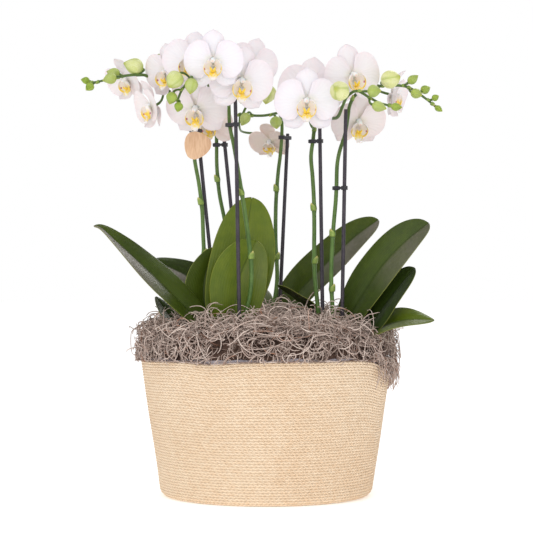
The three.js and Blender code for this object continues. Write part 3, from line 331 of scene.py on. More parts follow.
def unit(vectors):
    return vectors / np.linalg.norm(vectors, axis=-1, keepdims=True)


def around(radius, angle, height):
    """A place, or many, at a radius and an angle round the Z axis"""
    return np.stack([radius * np.cos(angle), radius * np.sin(angle), height], axis=-1)


def at_shares(wanted, shares, path):
    """The path's points at the wanted shares of its length"""
    return np.column_stack([np.interp(wanted, shares, path[:, k]) for k in range(3)])


def smooth_path(points, count):
    """count evenly spaced points, in metres, on the centripetal curve through points in millimetres"""
    knots = np.array(points, float) * MM
    knots = np.vstack([2 * knots[0] - knots[1], knots, 2 * knots[-1] - knots[-2]])
    share = np.linspace(0, 1, 24, endpoint=False)[:, None]
    fine = []
    for a, b, c, d in zip(knots, knots[1:], knots[2:], knots[3:]):
        before, middle, after = (max(np.linalg.norm(q - p), 1e-9) ** 0.5 for p, q in ((a, b), (b, c), (c, d)))
        start = ((b - a) / before - (c - a) / (before + middle) + (c - b) / middle) * middle
        end = ((c - b) / middle - (d - b) / (middle + after) + (d - c) / after) * middle
        fine.append(b + share * start + share ** 2 * (3 * (c - b) - 2 * start - end)
                    + share ** 3 * (2 * (b - c) + start + end))
    fine = np.vstack([*fine, knots[-2]])
    return evenly(fine, count)


def evenly(path, count):
    """The same path as count evenly spaced points"""
    reach = np.concatenate([[0], np.cumsum(np.linalg.norm(np.diff(path, axis=0), axis=1))])
    return at_shares(np.linspace(0, reach[-1], count), reach, path)


def bezier(start, control, end, count):
    t = np.linspace(0, 1, count)[:, None]
    return (1 - t) ** 2 * start + 2 * t * (1 - t) * control + t ** 2 * end


def curve_through(points, t):
    """The Bezier curve of any number of control points"""
    while len(points) > 1:
        points = [(1 - t) * a + t * b for a, b in zip(points, points[1:])]
    return points[0]


def tangents(path):
    return unit(np.gradient(path, axis=0))


def ripple(seed, x, y, scale):
    """A smooth uneven field of about -1 to 1 over x and y"""
    random = np.random.default_rng(seed)
    total = 0
    for _ in range(7):
        way = random.normal(size=2) / scale
        total = total + np.sin(way[0] * x + way[1] * y + random.uniform(0, TURN))
    return total / 3


def blade_shape(u, base, peak, roundness, power=0.5):
    """Share of a blade's greatest half width at u: it widens to its peak and then rounds off"""
    rise = base + (1 - base) * np.sin(math.pi / 2 * np.clip(u / peak, 0, 1))
    fall = np.clip((u - peak) / (1 - peak), 0, 1)
    return np.where(u < peak, rise, np.clip(1 - fall ** roundness, 0.0004, 1) ** power)


def rim_dip(angle):
    """How far the basket's rim is pressed down, in millimetres, at an angle in radians"""
    total = 0
    for at, depth, spread in RIM_DIPS:
        off = (np.degrees(angle) - at + 540) % 360 - 180
        total = total + depth * np.exp(-(off / spread) ** 2)
    return total


# Pieces


def places(piece):
    """A piece's vertices as an array"""
    flat = np.empty(3 * len(piece.data.vertices), np.float32)
    piece.data.vertices.foreach_get("co", flat)
    return flat.reshape(-1, 3).astype(float)


def move_to(piece, points):
    piece.data.vertices.foreach_set("co", np.ascontiguousarray(points, np.float32).ravel())
    piece.data.update()


def select_only(*pieces):
    bpy.ops.object.select_all(action="DESELECT")
    for piece in pieces:
        piece.select_set(True)
    bpy.context.view_layer.objects.active = pieces[0]


def finish_mesh(piece, finish, merge=None, smooth=None):
    """Merges doubles and turns the faces outwards, smooths the shading and gives the piece its finish"""
    select_only(piece)
    if merge is not None:
        bpy.ops.object.mode_set(mode="EDIT")
        bpy.ops.mesh.select_all(action="SELECT")
        bpy.ops.mesh.remove_doubles(threshold=merge)
        bpy.ops.mesh.normals_make_consistent(inside=False)
        bpy.ops.object.mode_set(mode="OBJECT")
    if smooth is None:
        bpy.ops.object.shade_smooth()
    else:
        bpy.ops.object.shade_smooth_by_angle(angle=math.radians(smooth))
    piece.data.materials.clear()
    piece.data.materials.append(finish)
    return piece


def apply_modifier(piece, kind, **settings):
    select_only(piece)
    modifier = piece.modifiers.new(kind.title(), kind)
    for key, value in settings.items():
        setattr(modifier, key, value)
    bpy.ops.object.modifier_apply(modifier=modifier.name)


def grid(name, place, rows, columns):
    """A grid laid out by place(u, v), u along it from 0 to 1 and v across it from -1 to 1"""
    bpy.ops.object.select_all(action="DESELECT")
    bpy.ops.mesh.primitive_grid_add(x_subdivisions=columns, y_subdivisions=rows, size=2)
    piece = bpy.context.object
    piece.name = name
    flat = places(piece)
    move_to(piece, place((flat[:, 1] + 1) / 2, flat[:, 0]))
    return piece


def ball(segments, rings):
    """A ball of radius 1, to be shaped"""
    bpy.ops.object.select_all(action="DESELECT")
    bpy.ops.mesh.primitive_uv_sphere_add(segments=segments, ring_count=rings, radius=1)
    return bpy.context.object


def thicken(piece, thickness, edge=1.0, rounding=1):
    """Gives a grid its thickness, both ways, thinner at its edges, and rounds it off"""
    if edge < 1:
        across = np.abs(uv_of_vertices(piece)[:, 0] * 2 - 1)
        group = piece.vertex_groups.new(name="middle")
        for k, weight in enumerate(1 - across ** 1.5):
            group.add([k], float(weight), "REPLACE")
    settings = {"vertex_group": "middle", "thickness_vertex_group": edge} if edge < 1 else {}
    apply_modifier(piece, "SOLIDIFY", thickness=thickness, offset=0, **settings)
    if rounding:
        apply_modifier(piece, "SUBSURF", levels=rounding, render_levels=rounding)
    piece.vertex_groups.clear()


def uv_of_vertices(piece):
    layer = piece.data.uv_layers.active.data
    uv = np.empty(2 * len(layer), np.float32)
    layer.foreach_get("uv", uv)
    corner = np.empty(len(piece.data.loops), np.int32)
    piece.data.loops.foreach_get("vertex_index", corner)
    out = np.zeros((len(piece.data.vertices), 2))
    out[corner] = uv.reshape(-1, 2)
    return out


def rod(name, path, radii, finish, sides=10):
    """A round rod along a path, with its radius at each point, closed at both ends"""
    data = bpy.data.curves.new(name, "CURVE")
    data.dimensions = "3D"
    data.bevel_depth = 1.0
    data.bevel_resolution = max(sides // 2 - 2, 0)
    data.use_fill_caps = True
    spline = data.splines.new("POLY")
    spline.points.add(len(path) - 1)
    spline.points.foreach_set("co", np.column_stack([path, np.ones(len(path))]).astype(np.float32).ravel())
    spline.points.foreach_set("radius", (np.broadcast_to(radii, len(path)) * MM).astype(np.float32))
    piece = bpy.data.objects.new(name, data)
    bpy.context.scene.collection.objects.link(piece)
    select_only(piece)
    bpy.ops.object.convert(target="MESH")
    piece = bpy.context.object
    return finish_mesh(piece, finish, merge=1e-6)


def join(name, pieces):
    select_only(*pieces)
    if len(pieces) > 1:
        bpy.ops.object.join()
    piece = bpy.context.object
    piece.name = piece.data.name = name
    return piece


def mark(piece, name, value):
    """Stores a number on a piece that its material reads"""
    layer = piece.data.attributes.new(name, "FLOAT", "POINT")
    values = np.broadcast_to(np.asarray(value, np.float32), len(piece.data.vertices))
    layer.data.foreach_set("value", np.ascontiguousarray(values))


def settle(piece, slot, *nodes):
    """The piece stands for these nodes of the part"""
    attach(piece, "root")
    if nodes:
        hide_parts(*nodes)
    return piece


# Finishes


def shade(red, green, blue):
    """A colour given as it shows on a screen, 0 to 255, as the light that it stands for"""
    light = [((c / 255 + 0.055) / 1.055) ** 2.4 if c > 10 else c / 3294 for c in (red, green, blue)]
    return (*light, 1.0)


def add(tree, kind, inputs=None, **settings):
    """A new node with its settings, and its inputs set to a number or joined to a socket"""
    node = tree.nodes.new(kind)
    for key, value in settings.items():
        setattr(node, key, value)
    for key, value in (inputs or {}).items():
        if isinstance(value, bpy.types.NodeSocket):
            tree.links.new(value, node.inputs[key])
        else:
            node.inputs[key].default_value = value
    return node


def sums(tree, operation, first, second=0.0, third=0.0, clamp=False):
    inputs = {0: first, 1: second, 2: third}
    return add(tree, "ShaderNodeMath", inputs, operation=operation, use_clamp=clamp).outputs[0]


def times(tree, first, second):
    return sums(tree, "MULTIPLY", first, second)


def rest(tree, value):
    """What a value leaves of 1"""
    return sums(tree, "SUBTRACT", 1.0, value)


def from_middle(tree, across):
    """0 at the midline of a blade and 1 at its edges"""
    return sums(tree, "ABSOLUTE", sums(tree, "MULTIPLY_ADD", across, 2.0, -1.0))


def pair(tree, first, second):
    """Two values as a place"""
    return add(tree, "ShaderNodeCombineXYZ", {0: first, 1: second}).outputs[0]


def blend(tree, factor, first, second):
    """A mix of two colours"""
    return add(tree, "ShaderNodeMix", {0: factor, 6: first, 7: second}, data_type="RGBA").outputs[2]


def between(tree, value, low, high):
    """0 where value is below low, 1 where it is above high, and smooth between"""
    inputs = {"Value": value, "From Min": low, "From Max": high}
    return add(tree, "ShaderNodeMapRange", inputs, interpolation_type="SMOOTHSTEP").outputs[0]


def noise(tree, vector, scale, detail=3.0):
    inputs = {"Vector": vector, "Scale": scale, "Detail": detail}
    return add(tree, "ShaderNodeTexNoise", inputs).outputs[0]


def grain(tree, scale, detail=3.0):
    """Noise that stays in its place on the piece"""
    return noise(tree, object_place(tree), scale, detail)


def attribute(tree, name):
    return add(tree, "ShaderNodeAttribute", attribute_name=name).outputs["Fac"]


def object_place(tree):
    return add(tree, "ShaderNodeTexCoord").outputs["Object"]


def uv_place(tree):
    """The two shares of the piece's UV map: across and along"""
    parts = add(tree, "ShaderNodeSeparateXYZ", {0: add(tree, "ShaderNodeTexCoord").outputs["UV"]})
    return parts.outputs["X"], parts.outputs["Y"]


def material(name, **values):
    """A new material, its node tree and its shader; underscores in the names stand for spaces"""
    made = bpy.data.materials.new(name)
    made.use_nodes = True
    tree = made.node_tree
    shader = tree.nodes["Principled BSDF"]
    for key, value in values.items():
        shader.inputs[key.replace("_", " ")].default_value = value
    return made, tree, shader


def relief(tree, shader, height, depth):
    """Height as a bump of a depth in metres"""
    bump = add(tree, "ShaderNodeBump", {"Height": height, "Distance": depth, "Strength": 1.0})
    tree.links.new(bump.outputs[0], shader.inputs["Normal"])


def paint(tree, shader, colour):
    tree.links.new(colour, shader.inputs["Base Color"])


def group_sockets(tree, inputs, outputs):
    """Names a group's inputs and outputs and returns its two ends"""
    for name, kind in inputs:
        tree.interface.new_socket(name, in_out="INPUT", socket_type=kind)
    for name, kind in outputs:
        tree.interface.new_socket(name, in_out="OUTPUT", socket_type=kind)
    return tree.nodes.new("NodeGroupInput"), tree.nodes.new("NodeGroupOutput")


def mottle_group():
    """Uneven colour: patches of two sizes between a first and a second colour"""
    tree = bpy.data.node_groups.new("mottle", "ShaderNodeTree")
    ins = [("Vector", "NodeSocketVector"), ("Scale", "NodeSocketFloat"),
           ("First", "NodeSocketColor"), ("Second", "NodeSocketColor")]
    start, end = group_sockets(tree, ins, [("Color", "NodeSocketColor"), ("Mask", "NodeSocketFloat")])
    large = noise(tree, start.outputs["Vector"], start.outputs["Scale"])
    small = noise(tree, start.outputs["Vector"], times(tree, start.outputs["Scale"], 6.0), 4.0)
    both = sums(tree, "MULTIPLY_ADD", small, 0.4, times(tree, large, 0.6))
    mask = between(tree, both, 0.36, 0.64)
    tree.links.new(blend(tree, mask, start.outputs["First"], start.outputs["Second"]), end.inputs["Color"])
    tree.links.new(mask, end.inputs["Mask"])
    return tree


def vein_group():
    """Fine lines along a blade: count of them over its width, wavering a little"""
    tree = bpy.data.node_groups.new("veins", "ShaderNodeTree")
    ins = [("Across", "NodeSocketFloat"), ("Along", "NodeSocketFloat"), ("Count", "NodeSocketFloat")]
    start, end = group_sockets(tree, ins, [("Lines", "NodeSocketFloat")])
    place = pair(tree, start.outputs["Across"], start.outputs["Along"])
    waver = times(tree, noise(tree, place, 3.0, 1.0), 0.06)
    phase = times(tree, sums(tree, "ADD", start.outputs["Across"], waver), start.outputs["Count"])
    wave = sums(tree, "SINE", times(tree, phase, TURN))
    tree.links.new(sums(tree, "MULTIPLY_ADD", wave, 0.5, 0.5), end.inputs["Lines"])
    return tree


def mottled(tree, scale, first, second):
    """Uneven colour in its place on the piece, and the mask of its patches"""
    inputs = {"Vector": object_place(tree), "Scale": scale, "First": first, "Second": second}
    node = add(tree, "ShaderNodeGroup", inputs, node_tree=bpy.data.node_groups["mottle"])
    return node.outputs["Color"], node.outputs["Mask"]


def veins(tree, across, along, count):
    inputs = {"Across": across, "Along": along, "Count": count}
    return add(tree, "ShaderNodeGroup", inputs, node_tree=bpy.data.node_groups["veins"]).outputs["Lines"]


def speckled(name, roughness, scale, first, second, depth, *own_grain):
    """A plain finish of two uneven tones, with a relief of the same patches or of a grain of its own"""
    made, tree, shader = material(name, Roughness=roughness)
    colour, mask = mottled(tree, scale, shade(*first), shade(*second))
    paint(tree, shader, colour)
    relief(tree, shader, grain(tree, *own_grain) if own_grain else mask, depth)
    return made


def rope_finish(profile_steps, first_row):
    """Twisted straw-coloured cord: strands that cross each row aslant, with painted shade in the grooves
    between the rows and between the strands
    """
    made, tree, shader = material("twisted cord", Roughness=0.85, Specular_IOR_Level=0.25)
    turn, up = uv_place(tree)
    row = sums(tree, "MULTIPLY_ADD", up, profile_steps / len(ROPE_STEPS), -first_row / len(ROPE_STEPS))
    in_row = sums(tree, "FRACT", row)
    off = sums(tree, "ABSOLUTE", sums(tree, "SUBTRACT", in_row, 0.5))
    row_number = sums(tree, "FLOOR", row)
    shift = times(tree, row_number, 0.381)
    twist = sums(tree, "MULTIPLY_ADD", turn, TWISTS_ROUND, shift)
    aslant = sums(tree, "MULTIPLY_ADD", in_row, -1.0, twist)
    strand = sums(tree, "ABSOLUTE", sums(tree, "SINE", times(tree, aslant, math.pi)))
    lane = pair(tree, times(tree, turn, 90.0), times(tree, row_number, 7.3))
    patch = noise(tree, lane, 1.0, 4.0)
    broad = grain(tree, 14.0, 2.0)
    pale = shade(252, 230, 202)
    deep = shade(240, 209, 174)
    tone = between(tree, sums(tree, "MULTIPLY_ADD", broad, 0.4, times(tree, patch, 0.6)), 0.34, 0.66)
    base = blend(tree, times(tree, tone, 0.7), pale, deep)
    # Painted shade: the grooves between the rows and between the twisted strands are darkened
    seam = between(tree, off, 0.34, 0.5)
    gap = between(tree, rest(tree, strand), 0.55, 1.0)
    dark = sums(tree, "MULTIPLY_ADD", gap, 0.34, times(tree, seam, 0.4), clamp=True)
    # Painted shadow: darker pockets where a row groove and a strand groove meet
    pocket_shadow = times(tree, times(tree, gap, seam), between(tree, patch, 0.42, 0.58))
    colour = blend(tree, dark, base, shade(212, 174, 132))
    paint(tree, shader, blend(tree, pocket_shadow, colour, shade(150, 112, 70)))
    round_row = rest(tree, sums(tree, "POWER", times(tree, off, 2.0), 2.0))
    height = sums(tree, "MULTIPLY_ADD", strand, 0.7, times(tree, round_row, 0.5))
    fibre = sums(tree, "MULTIPLY_ADD", grain(tree, 900.0, 3.0), 0.25, height)
    relief(tree, shader, fibre, 0.0009)
    return made


def film_finish():
    return speckled("grey film", 0.35, 60.0, (196, 190, 198), (150, 143, 152), 0.001, 120.0)


def strand_finish():
    """Dry moss: grey-beige strands, some redder, with painted shade on those that lie deep"""
    made, tree, shader = material("dry moss", Roughness=0.85, Specular_IOR_Level=0.2)
    tone, deep = attribute(tree, "tone"), attribute(tree, "deep")
    light = blend(tree, between(tree, tone, 0.0, 0.8), shade(180, 159, 148), shade(238, 221, 209))
    red = blend(tree, between(tree, tone, 0.93, 0.95), light, shade(176, 122, 92))
    fine, _ = mottled(tree, 160.0, red, shade(208, 187, 176))
    # Painted shade: strands that lie deep in the tangle are darkened towards a dark brown
    paint(tree, shader, blend(tree, times(tree, deep, 0.8), fine, shade(104, 78, 66)))
    relief(tree, shader, grain(tree, 1500.0), 0.0003)
    return made


def moss_bed_finish():
    # Dark brown: partly the crushed moss's own colour and partly painted shade for the gaps between the
    # strands
    return speckled("moss bed", 0.95, 90.0, (70, 50, 42), (108, 84, 72), 0.002, 300.0, 5.0)


def leaf_finish():
    """Waxy leaves: deep to olive green with fine lines, a dark rib, a painted grey sheen on one half and a
    thin pale edge
    """
    made, tree, shader = material("waxy leaf", Specular_IOR_Level=0.22)
    across, along = uv_place(tree)
    pale, painted_sheen = attribute(tree, "pale"), attribute(tree, "painted_sheen")
    lines = veins(tree, across, along, 24.0)
    bands = veins(tree, across, along, 5.0)
    dark, _ = mottled(tree, 20.0, shade(20, 33, 6), shade(36, 54, 12))
    olive, _ = mottled(tree, 20.0, shade(86, 106, 12), shade(104, 119, 22))
    green = blend(tree, pale, dark, olive)
    banded = blend(tree, times(tree, bands, 0.12), green, shade(58, 84, 20))
    off = from_middle(tree, across)
    rib = rest(tree, between(tree, off, 0.01, 0.06))
    lined = blend(tree, times(tree, lines, 0.04), banded, shade(134, 148, 84))
    # Painted sheen: a grey that stands for the reflection of the light on one half of some leaves
    sheen_colour, _ = mottled(tree, 50.0, shade(130, 121, 116), shade(114, 108, 98))
    sheened = blend(tree, times(tree, painted_sheen, 0.85), lined, sheen_colour)
    ribbed = blend(tree, times(tree, rib, 0.5), sheened, shade(40, 56, 16))
    edge = between(tree, off, 0.955, 1.0)
    paint(tree, shader, blend(tree, times(tree, edge, 0.6), ribbed, shade(150, 152, 66)))
    rough = grain(tree, 40.0)
    tree.links.new(sums(tree, "MULTIPLY_ADD", rough, 0.16, 0.26), shader.inputs["Roughness"])
    pores = sums(tree, "MULTIPLY_ADD", grain(tree, 700.0), 0.3, lines)
    relief(tree, shader, pores, 0.00006)
    return made


def stem_finish():
    made, tree, shader = material("flower stem", Roughness=0.42)
    colour, _ = mottled(tree, 45.0, shade(66, 100, 34), shade(92, 124, 54))
    high = between(tree, add(tree, "ShaderNodeSeparateXYZ", {0: object_place(tree)}).outputs["Z"], 0.15, 0.4)
    paint(tree, shader, blend(tree, times(tree, high, 0.4), colour, shade(78, 92, 34)))
    relief(tree, shader, grain(tree, 500.0), 0.0002)
    return made


def bract_finish():
    made, tree, shader = material("pale bract", Roughness=0.55)
    _, along = uv_place(tree)
    colour, _ = mottled(tree, 300.0, shade(146, 168, 82), shade(118, 144, 58))
    paint(tree, shader, blend(tree, between(tree, along, 0.55, 1.0), colour, shade(206, 196, 118)))
    return made


def bud_finish():
    """Closed buds: pale yellow-green, greener and darker when small, with fine lines and a green heel"""
    made, tree, shader = material("flower bud", Roughness=0.45, Subsurface_Weight=0.15,
                                  Subsurface_Radius=(0.004, 0.004, 0.0015))
    turn, along = uv_place(tree)
    green = attribute(tree, "green")
    lines = veins(tree, turn, along, 30.0)
    ripe, _ = mottled(tree, 130.0, shade(238, 238, 184), shade(224, 226, 150))
    young, _ = mottled(tree, 160.0, shade(132, 160, 44), shade(158, 182, 64))
    body = blend(tree, green, ripe, young)
    heeled = blend(tree, rest(tree, between(tree, along, 0.03, 0.3)), body, shade(180, 198, 92))
    tip = blend(tree, between(tree, along, 0.86, 1.0), heeled, shade(196, 204, 84))
    seamed = blend(tree, times(tree, attribute(tree, "seam"), 0.65), tip, shade(172, 190, 76))
    paint(tree, shader, blend(tree, times(tree, lines, 0.14), seamed, shade(160, 180, 80)))
    relief(tree, shader, lines, 0.00015)
    return made


def petal_finish():
    """White petals: a lilac breath towards the edge, a painted cream shade on blooms that stand in the shade,
    and fine veins
    """
    made, tree, shader = material("white petal", Roughness=0.55, Subsurface_Weight=0.55,
                                  Subsurface_Radius=(0.01, 0.009, 0.0085), Specular_IOR_Level=0.3)
    across, along = uv_place(tree)
    # Painted shade: blooms that stand in the shade get a cream tint, by the mark from the bloom table
    warm = attribute(tree, "warm")
    off = from_middle(tree, across)
    rim = sums(tree, "MAXIMUM", between(tree, off, 0.3, 1.0), between(tree, along, 0.5, 1.0))
    white = blend(tree, times(tree, rim, 0.7), shade(239, 237, 241), shade(236, 227, 233))
    cream = blend(tree, times(tree, rim, 0.5), shade(238, 222, 211), shade(232, 210, 201))
    body = blend(tree, times(tree, warm, 0.8), white, cream)
    heart = rest(tree, between(tree, along, 0.02, 0.3))
    heel = blend(tree, times(tree, heart, 0.5), body, shade(228, 226, 204))
    lines = veins(tree, across, along, 15.0)
    paint(tree, shader, blend(tree, times(tree, lines, 0.05), heel, shade(216, 200, 210)))
    cells = sums(tree, "MULTIPLY_ADD", grain(tree, 900.0), 0.35, lines)
    relief(tree, shader, cells, 0.0001)
    return made


def lobe_finish():
    """Side lobes of the lip: white, with painted shade deep in the cup, yellow lower margins and a magenta
    streak inside
    """
    made, tree, shader = material("lip side lobe", Roughness=0.45, Subsurface_Weight=0.2,
                                  Subsurface_Radius=(0.004, 0.003, 0.001))
    up, out = uv_place(tree)
    low = rest(tree, between(tree, up, 0.4, 0.75))
    wander = sums(tree, "MULTIPLY_ADD", grain(tree, 450.0), 0.3, -0.15)
    margin = between(tree, sums(tree, "ADD", out, wander), 0.5, 0.8)
    yellow = times(tree, margin, low)
    # Painted shade: the inner part of each lobe, deep in the cup, is darkened to a cream-grey
    deep = rest(tree, between(tree, out, 0.1, 0.6))
    plain = blend(tree, times(tree, deep, 0.6), shade(246, 240, 238), shade(240, 228, 216))
    body = blend(tree, yellow, plain, shade(248, 216, 78))
    band = times(tree, between(tree, out, 0.42, 0.5), rest(tree, between(tree, out, 0.66, 0.74)))
    level = times(tree, between(tree, up, 0.34, 0.38), rest(tree, between(tree, up, 0.44, 0.48)))
    streak = times(tree, band, level)
    paint(tree, shader, blend(tree, times(tree, streak, 0.85), body, shade(186, 66, 116)))
    return made


def lip_finish():
    """Middle lobe of the lip: white, with yellow wings at its root"""
    made, tree, shader = material("lip middle lobe", Roughness=0.45, Subsurface_Weight=0.2,
                                  Subsurface_Radius=(0.004, 0.003, 0.001))
    across, along = uv_place(tree)
    off = from_middle(tree, across)
    root = rest(tree, between(tree, along, 0.4, 0.62))
    wing = times(tree, between(tree, off, 0.4, 0.9), rest(tree, between(tree, along, 0.6, 0.8)))
    patchy = between(tree, grain(tree, 600.0), 0.3, 0.55)
    yellow = times(tree, sums(tree, "MAXIMUM", wing, root), patchy)
    paint(tree, shader, blend(tree, yellow, shade(244, 238, 238), shade(248, 220, 92)))
    return made


def callus_finish():
    made, tree, shader = material("lip callus", Roughness=0.35)
    spots = between(tree, grain(tree, 1400.0), 0.62, 0.7)
    paint(tree, shader, blend(tree, times(tree, spots, 0.6), shade(248, 212, 70), shade(206, 120, 70)))
    return made


def column_finish():
    """The column: white, with a soft pink cap at its tip"""
    made, tree, shader = material("column", Roughness=0.4, Subsurface_Weight=0.2)
    _, along = uv_place(tree)
    cap = between(tree, along, 0.8, 0.93)
    pink = blend(tree, grain(tree, 500.0), shade(248, 222, 212), shade(244, 200, 186))
    paint(tree, shader, blend(tree, cap, shade(244, 240, 238), pink))
    return made


def stick_finish():
    return speckled("dark stick", 0.5, 70.0, (44, 38, 48), (64, 56, 66), 0.0003)


def clip_finish():
    return speckled("black clip", 0.4, 200.0, (34, 33, 38), (50, 49, 56), 0.0001)


def tag_finish():
    """Bare thin board: fine upright grain in a warm tan"""
    made, tree, shader = material("bare board", Roughness=0.75)
    inputs = {"Vector": object_place(tree), "Scale": (1.0, 1.0, 0.12)}
    stretched = add(tree, "ShaderNodeMapping", inputs).outputs[0]
    fibres = noise(tree, stretched, 1400.0, 4.0)
    broad = noise(tree, stretched, 260.0, 2.0)
    tone = between(tree, sums(tree, "MULTIPLY_ADD", fibres, 0.6, times(tree, broad, 0.4)), 0.36, 0.64)
    paint(tree, shader, blend(tree, tone, shade(240, 202, 166), shade(222, 176, 138)))
    relief(tree, shader, fibres, 0.0002)
    return made


def bark_finish():
    return speckled("bark chips", 0.95, 80.0, (74, 48, 32), (120, 84, 58), 0.003)


def pot_finish():
    return speckled("clear pot", 0.25, 30.0, (206, 212, 208), (188, 196, 192), 0.0003)


def tray_finish():
    return speckled("black tray", 0.45, 120.0, (30, 30, 33), (44, 44, 48), 0.0002)


# Basket, liner and moss


def basket_radius(height):
    return BASKET_BOTTOM_RADIUS + (BASKET_TOP_RADIUS - BASKET_BOTTOM_RADIUS) * height / BASKET_HEIGHT


def basket_profile():
    """[radius, height] from the middle of the underside round the rim to the middle of the floor"""
    flat = basket_radius(0) - BASKET_CORNER
    outside = [(radius, 0) for radius in np.linspace(0, flat, 6)]
    first_row = len(outside)
    pitch = BASKET_HEIGHT / ROPE_ROWS
    for row in range(ROPE_ROWS):
        for step, share in enumerate(ROPE_STEPS):
            height = (row + step / len(ROPE_STEPS)) * pitch
            tuck = BASKET_CORNER * (1 - math.sqrt(max(0, 1 - (1 - min(height / BASKET_CORNER, 1)) ** 2)))
            outside.append((basket_radius(height) - tuck - ROPE_RELIEF * (1 - share), height))
    top = BASKET_HEIGHT
    rim = [(basket_radius(top) - 0.5 * BASKET_WALL, top + 0.2), (basket_radius(top) - BASKET_WALL, top - 0.6)]
    heights = np.linspace(top - 6, BASKET_FLOOR + BASKET_CORNER, 8)
    inside = [(basket_radius(height) - BASKET_WALL, height) for height in heights]
    floor = [(radius, BASKET_FLOOR) for radius in np.linspace(flat - BASKET_WALL, 0, 4)]
    return np.array(outside + rim + inside + floor), first_row


def sunk(height, angle):
    """A height on the basket's wall, lowered by the rim's dips"""
    return height - rim_dip(angle) * np.clip((height - DIP_START) / (BASKET_HEIGHT - DIP_START), 0, 1)


def basket():
    profile, first_row = basket_profile()

    def place(u, v):
        step = np.rint(u * (len(profile) - 1)).astype(int)
        angle = math.pi / 2 + math.pi * v
        radius, height = profile[step].T
        rows = (step - first_row) / len(ROPE_STEPS)
        wander = 0.25 * ripple(3, 40 * np.cos(angle), 40 * np.sin(angle) + 9 * rows, 30)
        bulge = 0.3 * ripple(4, 60 * np.cos(angle), 60 * np.sin(angle) + height, 25)
        on_wall = radius > BASKET_WALL_FROM
        height = np.where(on_wall & (height > 8), sunk(height + wander, angle), height)
        radius = np.where(on_wall, radius + bulge - 0.3, radius)
        return around(radius, angle, height) * MM

    piece = grid("rope_basket", place, len(profile) - 1, BASKET_COLUMNS)
    finish_mesh(piece, rope_finish(len(profile) - 1, first_row), merge=1e-6)
    return settle(piece, "rope", "basket")


def liner():
    """The film in the basket, crumpled where it stands above the rim"""
    heights = np.array([BASKET_FLOOR + 0.8, BASKET_FLOOR + 0.8, 12, 40, 70, 95, 108, 114, 118, 121, 124,
                        124 + LINER_PROUD])
    radii = np.array([basket_radius(height) - LINER_INSET for height in heights])
    radii[:2] = 0, basket_radius(BASKET_FLOOR) - LINER_INSET - BASKET_CORNER

    def place(u, v):
        step = np.rint(u * (len(heights) - 1)).astype(int)
        angle = math.pi / 2 + math.pi * v
        radius, height = radii[step], heights[step]
        loose = np.clip((height - 100) / 24, 0, 1)
        girth = 108 * angle
        crumple = 0.9 * ripple(11, girth, height, 5) + 1.2 * ripple(12, girth, height, 16)
        height = height + loose ** 3 * crumple
        radius = radius - loose * np.abs(0.5 * ripple(13, girth, height, 3))
        height = np.where(height > 20, height + 0.6 * (sunk(height, angle) - height), height)
        return around(radius, angle, height) * MM

    piece = grid("film_liner", place, len(heights) - 1, LINER_COLUMNS)
    finish_mesh(piece, film_finish(), merge=1e-6)
    apply_modifier(piece, "SOLIDIFY", thickness=LINER_THICKNESS * MM, offset=0)
    return settle(piece, "film", "liner")


def moss_top(radius, angle):
    """Height of the moss over the basket"""
    share = np.clip(radius / MOSS_EDGE, 0, 1)
    mound = MOSS_MIDDLE_TOP + (MOSS_EDGE_TOP - MOSS_MIDDLE_TOP) * share ** 2
    x, y = radius * np.cos(angle), radius * np.sin(angle)
    lumps = 2.5 * ripple(21, x, y, 14) + 1.5 * ripple(22, x, y, 6)
    return mound + lumps - rim_dip(angle) * np.clip((radius - 100) / 10, 0, 1)


def moss_surface(share, angle):
    """Radius and height on the moss from its middle, 0, over its brow to its foot at the rim, 1, and how far
    it leans outwards there, in radians"""
    lean = np.clip((share - BROW_SHARE) / (1 - BROW_SHARE), 0, 1) * math.pi / 2
    over_edge = MOSS_BROW + (MOSS_EDGE + 2 - MOSS_BROW) * np.sin(lean)
    radius = np.where(share < BROW_SHARE, MOSS_BROW * share / BROW_SHARE, over_edge)
    foot = MOSS_FOOT - rim_dip(angle)
    top = moss_top(np.minimum(radius, MOSS_BROW), angle)
    return radius, np.where(share < BROW_SHARE, top, foot + (top - foot) * np.cos(lean)), lean


def moss_bed():
    """What lies under the strands: an uneven mound of crushed moss, dark brown partly as painted shade for
    the gaps between the strands
    """

    def place(u, v):
        angle = math.pi / 2 + math.pi * v
        radius, height, _ = moss_surface(np.minimum(u / 0.95, 1), angle)
        inner = radius * (1 - 1.6 * MOSS_BED_DEPTH / MOSS_EDGE)
        radius = np.where(u > 0.99, 0, np.where(u > 0.97, MOSS_BROW, inner))
        sunken = np.maximum(height - MOSS_BED_DEPTH, MOSS_FOOT - 0.5 - rim_dip(angle))
        return around(radius, angle, np.where(u > 0.97, MOSS_FOOT - 14, sunken)) * MM

    piece = grid("moss_bed", place, 48, 150)
    finish_mesh(piece, moss_bed_finish(), merge=1e-5)
    return settle(piece, "moss", "moss")


